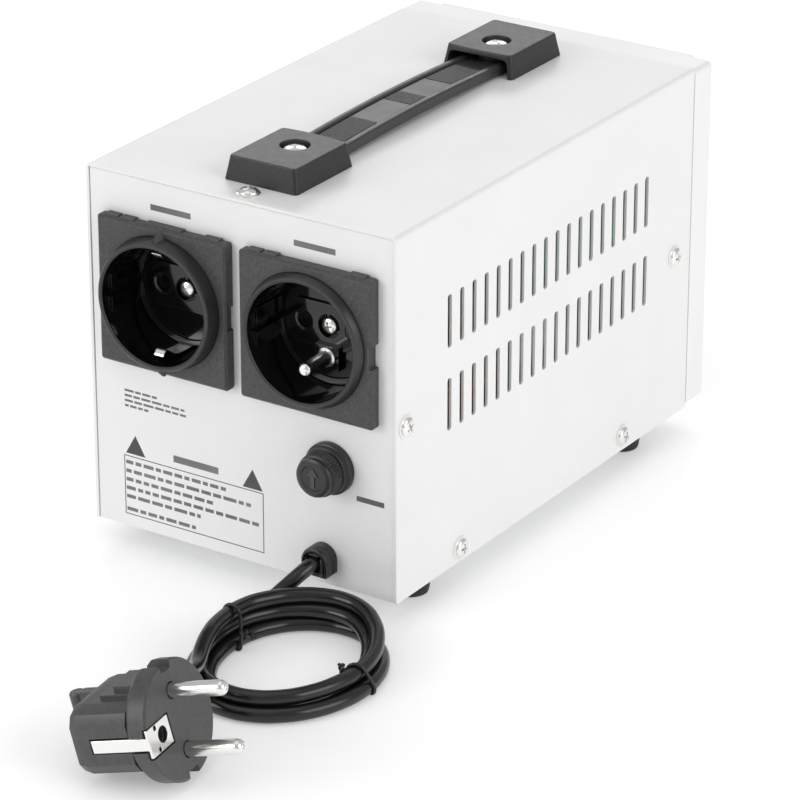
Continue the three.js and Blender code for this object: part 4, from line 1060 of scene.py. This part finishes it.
def socket_cup(label, centre, proud):
    profile = in_mm(
        (0, -12.4), (21.0, -12.4), (21.0, 3), (20.6, proud - 0.6), (20.35, proud - 0.25),
        (19.95, proud - 0.25), (19.7, proud - 0.7), (19.65, -8.9), (19.3, -9.6), (17.6, -9.9),
        (17.3, FLOOR), (0, FLOOR))
    cup = turned(label + "_socket_cup", profile, at(centre), "Y", sides=128)
    ledge = extruded("ledge", in_mm(
        (-15.6, -4.6), (-12.0, -7.4), (12.0, -7.4), (15.6, -4.6), (15.6, 4.6), (12.0, 7.4),
        (-12.0, 7.4), (-15.6, 4.6)), (FLOOR - 0.5) * MM, (FLOOR + 0.9) * MM, "Y", at(centre))
    guides = []
    for side in (-1, 1):
        for z0, z1 in ((1.6, 6.4), (-6.4, -1.6)):
            guides.append(socket_block("guide", centre, *sorted((side * 18.1, side * 20.2)),
                                       FLOOR - 0.3, proud - 3.2, z0, z1))
    if label == "right":
        guides.append(socket_block(
            "earth_boss", centre, -4.4, 4.4, FLOOR + 0.3, FLOOR + 2.2, -14.2, -6.2))
    cup = weld_on(cup, ledge, *guides)
    holes = [turned("pin_hole", in_mm(
        (0, -12.0), (2.85, -12.0), (2.85, FLOOR + 0.3), (3.6, FLOOR + 0.5), (3.6, FLOOR + 3),
        (0, FLOOR + 3)),
        at(centre, x), "Y", 40) for x in (-PIN_HALF, PIN_HALF)]
    holes.append(rod("screw_well", 4.1, -12.1, FLOOR + 3, at(centre), "Y"))
    return cut(cup, *holes)


# %% [markdown]
# The left socket earths a plug at its edge: a springy strip stands at the top and the bottom of the
# recess, its nose bent inwards. The strip is one bent sheet, lofted along a listed line. Small
# wedges on the collar tell the user which way the clips are.

# %% Left socket
left_plate = socket_plate("left", LEFT_SOCKET)
left_cup = socket_cup("left", LEFT_SOCKET, 9.0)
left_collar = socket_collar("left", LEFT_SOCKET, 9.0)
wedges, channels = [], []
for up in (-1, 1):
    wedges.append(loft("wedge", [[at(LEFT_SOCKET, x, y, up * z) for x, y in (
        (-w, 3.5), (w, 3.5), (w * 0.3, h), (-w * 0.3, h))][::up]
        for z, w, h in ((21.2, 2.3, 8.4), (25.3, 0.7, 4.2))]))
    channels.append(socket_block("channel", LEFT_SOCKET, -3.5, 3.5, -11.6, 6.0,
                                 *sorted((up * 18.9, up * 20.6))))
left_collar = weld_on(left_collar, *wedges)
left_cup = cut(left_cup, *channels)
fit(left_plate, "case", "socket_black", plate_black, "left_socket", edge=0.12)
fit(left_cup, "case", "socket_black", polished_black, edge=0.12)
fit(left_collar, "case", "socket_black", collar_black, edge=0.1)
bend = [(-11.2, 18.9), (-6, 19.0), (-1, 18.7), (1.4, 17.8), (3.2, 16.3), (4.3, 15.9), (5.2, 16.4),
        (5.9, 17.6)]
for up, label in ((1, "top"), (-1, "bottom")):
    rings = []
    for i, (y, z) in enumerate(bend):
        before, after = bend[max(0, i - 1)], bend[min(len(bend) - 1, i + 1)]
        run = Vector((after[0] - before[0], after[1] - before[1])).normalized()
        thick = Vector((-run.y, run.x)) * 0.28
        half = 2.6 if y < 2 else 1.8
        rings.append([at(LEFT_SOCKET, x, y + s * thick.x, up * (z + s * thick.y)) for x, s in (
            (-half, -1), (half, -1), (half, 1), (-half, 1))])
    clip = loft(f"earth_clip_{label}_spring", rings)
    fit(clip, "case", "bright_nickel", nickel, f"left_socket_earth_clip_{label}", edge=0.12)

# %% [markdown]
# The right socket earths a plug with a fixed pin, which stands on a square boss at the floor.

# %% Right socket
right_plate = socket_plate("right", RIGHT_SOCKET)
right_cup = socket_cup("right", RIGHT_SOCKET, 7.0)
fit(right_plate, "case", "socket_black", plate_black, "right_socket", edge=0.12)
fit(right_cup, "case", "socket_black", polished_black)
fit(socket_collar("right", RIGHT_SOCKET, 7.0), "case", "socket_black", collar_black, edge=0.1)
earth = turned("earth_pin_turned", in_mm(
    (0, -9), (3.2, -9), (3.2, -7.8), (2.4, -7.6), (2.4, 3.0), (2.3, 3.8), (1.9, 4.5), (1.2, 4.9),
    (0, 5.0)),
    at(RIGHT_SOCKET, 0, 0, -10), "Y", sides=64)
fit(earth, "case", "bright_nickel", nickel, "right_socket_earth_pin")
for label, centre in (("left", LEFT_SOCKET), ("right", RIGHT_SOCKET)):
    cross_screw(f"{label}_socket_screw_pan", 3.0 * MM, 1.9 * MM, at(centre, 0, -10.7), (0, 1, 0),
                f"{label}_socket_screw", spin=40 if label == "left" else 12, shank=1.6 * MM)
print("sockets at x, mm:", round(LEFT_SOCKET.x / MM, 1), round(RIGHT_SOCKET.x / MM, 1))

# %% [markdown]
# ## Fuse holder
# A flange and a ring sit on the panel; the cap that carries the fuse has a ribbed skirt for the
# fingers and a smooth nose with a moulded arrow. The ribs are part of the turning: the radius
# carries a small wave round the axis where the skirt is.

# %% Fuse holder and cap
flange = turned("fuse_flange", in_mm(
    (0, -6), (6.0, -6), (6.0, -0.3), (8.8, -0.3), (8.8, 1.5), (8.6, 1.9), (8.1, 2.1), (7.9, 2.3),
    (7.95, 2.7), (7.8, 3.5), (7.4, 3.75), (4.7, 3.75), (4.7, -4), (0, -4)), at(FUSE), "Y", sides=96)
fit(flange, "case", "black_plastic", satin_black, "fuse_holder_body", edge=0.1)


def ribs_round(angle, radius, height):
    inside = 4.6 * MM <= height <= 8.1 * MM and radius > 6.8 * MM
    return 0.2 * MM * math.cos(48 * angle) if inside else 0.0


cap_profile = in_mm(
    (0, -2.9), (4.2, -2.9), (4.2, 4.1), (7.0, 4.1), (7.35, 4.3), (7.35, 4.5), (7.3, 4.6),
    (7.2, 5.6), (7.1, 6.8), (7.0, 8.0), (6.85, 8.15), (6.5, 8.3), (6.6, 8.55),
    (6.65, 9.2), (6.4, 9.85),
    (5.7, 10.25), (4.9, 10.4), (4.4, 10.35), (4.1, 10.0), (0, 10.0))
cap = turned("fuse_cap_ribbed", cap_profile, at(FUSE), "Y", sides=288, ripple=ribs_round)
fit(cap, "fuse_knob", "black_plastic", satin_black, "fuse_cap")
arrow = extruded("fuse_cap_mark", in_mm(
    (-0.6, -3.2), (0.6, -3.2), (0.6, 0.8), (1.9, 0.8), (0, 3.4), (-1.9, 0.8), (-0.6, 0.8)),
    9.9 * MM, 10.35 * MM, "Y", at(FUSE))
fit(arrow, "fuse_knob", "black_plastic", plate_black)

# %% [markdown]
# ## Cord bushing
# A two-part nylon bushing grips the lead in the panel. Its head is D-shaped with a groove round the
# arch where the two halves meet, and a square mouth below, where the lead comes out.

# %% Cord bushing
def arch(half, low, steps=14):
    """A D standing on its flat side, in mm: a half circle over a square foot."""
    points = [(-half + 1.2, low), (half - 1.2, low), (half, low + 1.2)]
    for i in range(steps + 1):
        a = math.pi * i / steps
        points.append((half * math.cos(a), half * math.sin(a)))
    return points + [(-half, low + 1.2)]


def arches(name, *levels):
    return loft(name, [
        [at(BUSHING, u, y, v) for u, v in arch(half, low)] for y, half, low in levels])


head = arches(
    "bushing_head", (-0.35, 5.1, -5.2), (1.7, 5.1, -5.2), (1.9, 4.8, -4.95), (2.5, 4.8, -4.95),
    (2.7, 5.15, -5.25), (4.6, 5.1, -5.2), (5.4, 4.8, -5.0), (5.7, 4.3, -4.6))
head = cut(head, arches("groove", (4.3, 3.9, -6.4), (6.6, 4.2, -6.6)))
head = weld_on(head, arches("tongue", (3.0, 3.5, -4.5), (5.4, 3.5, -4.5), (5.95, 3.1, -4.2)))
mouth_outline = ((-2.7, -2.9), (2.7, -2.9), (2.7, 2.3), (2.2, 2.7), (-2.2, 2.7), (-2.7, 2.3))
mouth = loft("mouth", [[at(BUSHING, u, y, v) for u, v in mouth_outline] for y in (-6.6, 7)])
shank = rod("shank", 4.6, -7, 0, at(BUSHING), "Y", 48)
head = cut(weld_on(head, shank), mouth)
fit(head, "case", "black_plastic", satin_black, "cord_bushing", edge=0.15)
print("bushing done")

# %% [markdown]
# ## Fuse in its carrier
# Behind the cap hangs a 5 x 20 mm fuse: two pressed nickel caps on a glass tube with a thin wire.
# It is worth modelling because the cap pulls out and shows it. The nut inside the panel is kept.

# %% Fuse
clear_glass = finish(
    "clear_glass", (0.97, 0.98, 0.98), 0.03, grain=(60, 0.01), tone=(0.01, 40), patch=(0.02, 60),
    clear=1.0)
FUSE_LOW, FUSE_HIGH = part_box("glass_fuse")
fuse_axis = Vector((FUSE.x, 0, FUSE.z))
fuse_r = (FUSE_HIGH.x - FUSE_LOW.x) / 2
tube = turned("fuse_tube", [
    (fuse_r * 0.72, FUSE_LOW.y + 2 * MM), (fuse_r * 0.9, FUSE_LOW.y + 2 * MM),
    (fuse_r * 0.9, FUSE_HIGH.y - 2 * MM), (fuse_r * 0.72, FUSE_HIGH.y - 2 * MM)],
    fuse_axis, "Y", sides=48, closed=True)
fit(tube, "fuse", "clear_glass", clear_glass, "glass_fuse")
for label, start, way in (("inner", FUSE_LOW.y, 1), ("outer", FUSE_HIGH.y, -1)):
    ferrule = turned("fuse_ferrule_" + label, [
        (0, start), (fuse_r * 0.86, start), (fuse_r, start + way * 0.4 * MM),
        (fuse_r, start + way * 4.6 * MM), (fuse_r * 0.96, start + way * 5 * MM),
        (0, start + way * 5 * MM)], fuse_axis, "Y", sides=48)
    fit(ferrule, "fuse", "bright_nickel", nickel)
wire_points = [
    Vector((FUSE.x + 0.3 * MM * math.sin(i * 0.9), FUSE_LOW.y + (4 + i * (12 / 11)) * MM, FUSE.z))
    for i in range(12)]
wire = cable("fuse_wire", wire_points, 0.35 * MM, nickel, ring=2)
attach(wire, "fuse")
keep("fuse_holder_nut", satin_black, 0.3)

# %% [markdown]
# ## Front face
# The meter sits behind a glass window in a black frame, over a rocker switch, a delay button and
# two lamps. The frame's solids for the meter frame, the switch and the window have the right shape
# and are kept. The scale is a fan of thin ticks with plain numbers, which are text made into mesh.

# %% Meter
needle_red = finish("needle_red", (0.55, 0.02, 0.015), 0.35, grain=(900, 0.05), tone=(0.05, 40))
dial_card = finish(
    "dial_card", (0.80, 0.79, 0.75), 0.6, grain=(1800, 0.12), tone=(0.03, 40), patch=(0.1, 300))
keep("meter_case", spark_black, 0.5, 3)
keep("meter_window", clear_glass, 0.2)
keep("meter_dial", dial_card, 0.1)
keep("meter_needle", needle_red, 0.08)
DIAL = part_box("meter_dial")[0].y
pivot = Vector((0, DIAL - 0.04 * MM, middle("meter_dial").z - 11 * MM))


def on_dial(reach, degrees):
    """A point of the dial; 0 degrees is straight up, and more leans to the reader's right."""
    angle = math.radians(degrees)
    return pivot + Vector((math.sin(angle), 0, math.cos(angle))) * reach * MM


def dial_mark(bm, inner, outer, degrees, width):
    spread = math.degrees(width / outer) / 2
    ring = [on_dial(inner, degrees - spread), on_dial(inner, degrees + spread),
            on_dial(outer, degrees + spread), on_dial(outer, degrees - spread)]
    prism(bm, ring, [p + Vector((0, 0.1 * MM, 0)) for p in ring])


scale_bm = bmesh.new()
for i in range(31):
    degrees = -45 + i * 3
    long_mark = i % 5 == 0
    dial_mark(scale_bm, 19.0, 22.4 if long_mark else 20.8, degrees, 0.5 if long_mark else 0.25)
for i in range(60):
    dial_mark(scale_bm, 18.6, 18.95, -44.25 + i * 1.5, 0.5)
bmesh.ops.recalc_face_normals(scale_bm, faces=scale_bm.faces)
scale = mesh_object("meter_scale", scale_bm)
fit(scale, "case", "dial_card", ink)


def figures(name, words, place, height, material):
    text = bpy.data.curves.new(name, "FONT")
    text.body = words
    text.size = height
    text.align_x = "CENTER"
    text.align_y = "CENTER"
    text.extrude = 0.05 * MM
    lines_obj = placed(name + "_text", text)
    bpy.context.view_layer.update()
    graph = bpy.context.evaluated_depsgraph_get()
    mesh = bpy.data.meshes.new_from_object(lines_obj.evaluated_get(graph))
    bpy.data.objects.remove(lines_obj, do_unlink=True)
    mesh.transform(Matrix.Translation(place) @ Matrix.Rotation(math.radians(90), 4, "X"))
    joined = bmesh.new()
    joined.from_mesh(mesh)
    bmesh.ops.remove_doubles(joined, verts=joined.verts, dist=1e-6)
    joined.to_mesh(mesh)
    joined.free()
    return fit(placed(name, mesh), "case", "dial_card", material)


for i, number in enumerate((0, 50, 100, 150, 200, 250, 300)):
    figures(f"meter_figure_{number}", str(number), on_dial(24.6, -45 + i * 15), 2.5 * MM, ink)
print("meter marks:", len(scale.data.polygons) // 6)

# %% [markdown]
# The rocker carries two plain marks, a bar and a ring, and rides with them. The lamps are turned
# lenses with a domed front and fine rings, tinted all through.

# %% Switch, button and lamps
rocker_red = finish("rocker_red", (0.50, 0.02, 0.015), 0.25, grain=(1200, 0.06), tone=(0.04, 40))
mark_white = finish("mark_white", (0.85, 0.85, 0.84), 0.45, grain=(1800, 0.1), tone=(0.02, 40))
keep("power_switch_body", satin_black, 0.4, 3)
keep("power_rocker", rocker_red, 0.5, 3)
keep("delay_button", satin_black, 0.6, 3)
ROCKER_AXIS = Vector((middle("power_rocker").x, PLATE + 3 * MM, middle("power_switch_body").z))
ROCKER_LEAN = Matrix.Rotation(math.radians(10), 4, "X")


def on_rocker(mesh_obj):
    mesh_obj.data.transform(Matrix.Translation(ROCKER_AXIS) @ ROCKER_LEAN)
    return fit(mesh_obj, "rocker", "red_plastic", mark_white)


def rocker_face(v):
    """Depth of the rocker's front, in mm from its axis, at v mm above the axis."""
    return -4.6 - 1.6 * abs(v) / 10.4


def on_face(outline, lift):
    """An outline of (x, z), in mm, laid over the rocker's front and lifted off it."""
    return [Vector((u * MM, (rocker_face(v) + lift) * MM, v * MM)) for u, v in outline]


line_on = bar(-0.5, 0.5, 4.6, 8.0)
on_rocker(loft("rocker_mark_on", [on_face(line_on, lift) for lift in (-0.06, 0.3)]))
on_rocker(loft("rocker_mark_off", [on_face(circle(radius, 36, 0, -6.3), lift) for radius, lift in (
    (1.3, -0.06), (1.9, -0.06), (1.9, 0.3), (1.3, 0.3))], closed=True))
for node_name, tint in (("lamp_normal", (0.03, 0.55, 0.10)), ("lamp_fault", (0.65, 0.03, 0.02))):
    low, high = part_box(node_name)
    lens_r = (high.x - low.x) / 2
    centre = Vector(((low.x + high.x) / 2, low.y, (low.z + high.z) / 2))
    length = high.y - low.y
    lens = turned(node_name + "_lens", [
        (0, 0), (lens_r * 0.35, 0.05 * MM), (lens_r * 0.62, 0.25 * MM), (lens_r * 0.82, 0.6 * MM),
        (lens_r * 0.86, 0.95 * MM), (lens_r * 0.92, 1.0 * MM), (lens_r, 1.3 * MM),
        (lens_r, length), (0, length)], centre, "Y", sides=64)
    material = finish(
        node_name + "_lens", tint, 0.12, grain=(500, 0.2), tone=(0.05, 40), patch=(0.05, 60),
        clear=0.55, glow=0.12)
    slot_name = "green_plastic" if node_name == "lamp_normal" else "red_plastic"
    fit(lens, "case", slot_name, material, node_name)

# %% [markdown]
# Short printed bars stand under the lamps and controls, as on the socket side.

# %% Front print
for name, x, z, width in (("lamp_left", -22, 57.5, 10), ("lamp_right", 22, 57.5, 10),
                          ("switch", -26, 15.5, 12), ("button", 26, 25.5, 9)):
    outline = bar(x - width / 2, x + width / 2, z - 0.75, z + 0.75)
    print_bar = loft("print_" + name, [
        [Vector((u * MM, y, v * MM)) for u, v in outline] for y in (PLATE, PLATE - INK)])
    fit(print_bar, "case", "white_plastic", pale_ink)

# %% [markdown]
# ## Variac
# The winding is one layer of enamelled wire over a ring core, open where the wiper may not pass.
# Its skin is swept round the ring with a ripple, one ridge to each turn, and a ground track on top
# where the brush runs is left flat and bright. Core, hub and arm are the frame's own solids.

# %% Winding
copper_wire = finish(
    "copper_wire", (0.42, 0.13, 0.045), 0.30, 1.0, grain=(700, 0.08), tone=(0.15, 40),
    patch=(0.2, 200))
bare_copper = finish(
    "bare_copper", (0.78, 0.36, 0.20), 0.22, 1.0, grain=(900, 0.15), tone=(0.12, 40),
    patch=(0.25, 500))
RING_LOW, RING_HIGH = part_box("variac_winding")
ring_mid = Vector(((RING_LOW.x + RING_HIGH.x) / 2, RING_HIGH.y - (RING_HIGH.x - RING_LOW.x) / 2, 0))
OUTER, INNER = (RING_HIGH.x - RING_LOW.x) / 2, 22 * MM
WALL, GAP_HALF, TURNS, STEPS = 2.0 * MM, 15, 150, 6


def ring_outline(inset):
    low, high = RING_LOW.z + inset, RING_HIGH.z - inset
    inner, outer, corner = INNER + inset, OUTER - inset, 1.6 * MM
    half = (outer - inner) / 2
    return rounded(2 * half, high - low, corner, 3, (inner + outer) / 2, (low + high) / 2)


def swept(outline, share, margin=0):
    """An outline of (radius, height), stood up at a share of the way round the winding."""
    angle = math.radians(-90 + GAP_HALF + margin / 2 + share * (360 - margin - 2 * GAP_HALF))
    return [ring_mid + Vector((r * math.cos(angle), r * math.sin(angle), z)) for r, z in outline]


WIRE_RISE = 0.35 * MM
TRACK_MID = 36 * MM
skin, lining = ring_outline(WIRE_RISE), ring_outline(WALL)
cr, cz = (INNER + OUTER) / 2, (RING_LOW.z + RING_HIGH.z) / 2
sections = []
for i in range(TURNS * STEPS + 1):
    crest = abs(math.sin(math.pi * i / STEPS)) ** 0.6
    section = []
    for r, z in skin:
        away = Vector((r - cr, z - cz)).normalized() * WIRE_RISE * (crest - 0.05)
        flat_top = z > RING_HIGH.z - 0.8 * MM and abs(r - TRACK_MID) < 5.5 * MM
        section.append((r + (0 if flat_top else away.x), min(z + away.y, RING_HIGH.z)))
    sections.append(swept(section, i / (TURNS * STEPS)))
winding = loft("winding_turns", sections)
winding = cut(winding, loft("winding_hollow", [swept(lining, i / 60) for i in (0, *range(61), 60)]))
fit(winding, "case", "copper_wire", copper_wire, "variac_winding")
track_low, track_high = RING_HIGH.z - 0.6 * MM, RING_HIGH.z + 0.08 * MM
track = [(TRACK_MID + side * 4.5 * MM, z) for side, z in (
    (-1, track_low), (1, track_low), (1, track_high), (-1, track_high))]
fit(loft("brush_track", [swept(track, i / 120, margin=1) for i in range(121)]),
    "case", "copper_wire", bare_copper)
print("winding turns:", TURNS)

# %% [markdown]
# ## Drive and board
# The remaining inner parts keep their frame solids, with broken edges and their own finishes:
# zinc-plated steel, natural nylon gears, a carbon brush and a green laminate board.

# %% Inner parts
core_steel = finish("core_steel", (0.20, 0.20, 0.21), 0.45, 0.9, grain=(160, 0.3), tone=(0.15, 40))
nylon = finish("natural_nylon", (0.72, 0.70, 0.62), 0.42, grain=(600, 0.08), tone=(0.03, 40))
graphite = finish("graphite", (0.03, 0.03, 0.032), 0.45, 0.3, grain=(1500, 0.3), tone=(0.2, 40))
board_green = finish(
    "board_laminate", (0.03, 0.16, 0.07), 0.35, grain=(900, 0.15), tone=(0.12, 40),
    patch=(0.2, 400))
for node_name, material, edge in (
        ("variac_core", core_steel, 0.3), ("variac_bearing_post", nylon, 0.2),
        ("driven_gear", nylon, 0.12), ("servo_pinion", nylon, 0.1), ("carbon_brush", graphite, 0.2),
        ("brush_arm", zinc, 0.25), ("servo_bracket", zinc, 0.25), ("servo_motor", zinc, 0.4),
        ("control_board", board_green, 0.15)):
    keep(node_name, material, edge)

BOARD_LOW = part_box("control_board")[0]
board_face = BOARD_LOW.x + 1.6 * MM
rng = random.Random(11)
parts = []
for i in range(9):
    y = BOARD_LOW.y + (8 + (i % 5) * 4.0) * MM
    z = BOARD_LOW.z + (32 + 6 * (i // 5)) * MM
    body_r = rng.uniform(0.8, 1.3) * MM
    resistor = turned(f"board_resistor_{i + 1}", [
        (0, -3 * MM), (body_r * 0.8, -3 * MM), (body_r, -2.4 * MM), (body_r * 0.85, -1.6 * MM),
        (body_r * 0.85, 1.6 * MM), (body_r, 2.4 * MM), (body_r * 0.8, 3 * MM), (0, 3 * MM)],
        Vector((board_face + body_r + 0.2 * MM, y, z)), "Z", sides=20)
    parts.append(fit(resistor, "case", "natural_nylon", nylon))
print("board parts:", len(parts))
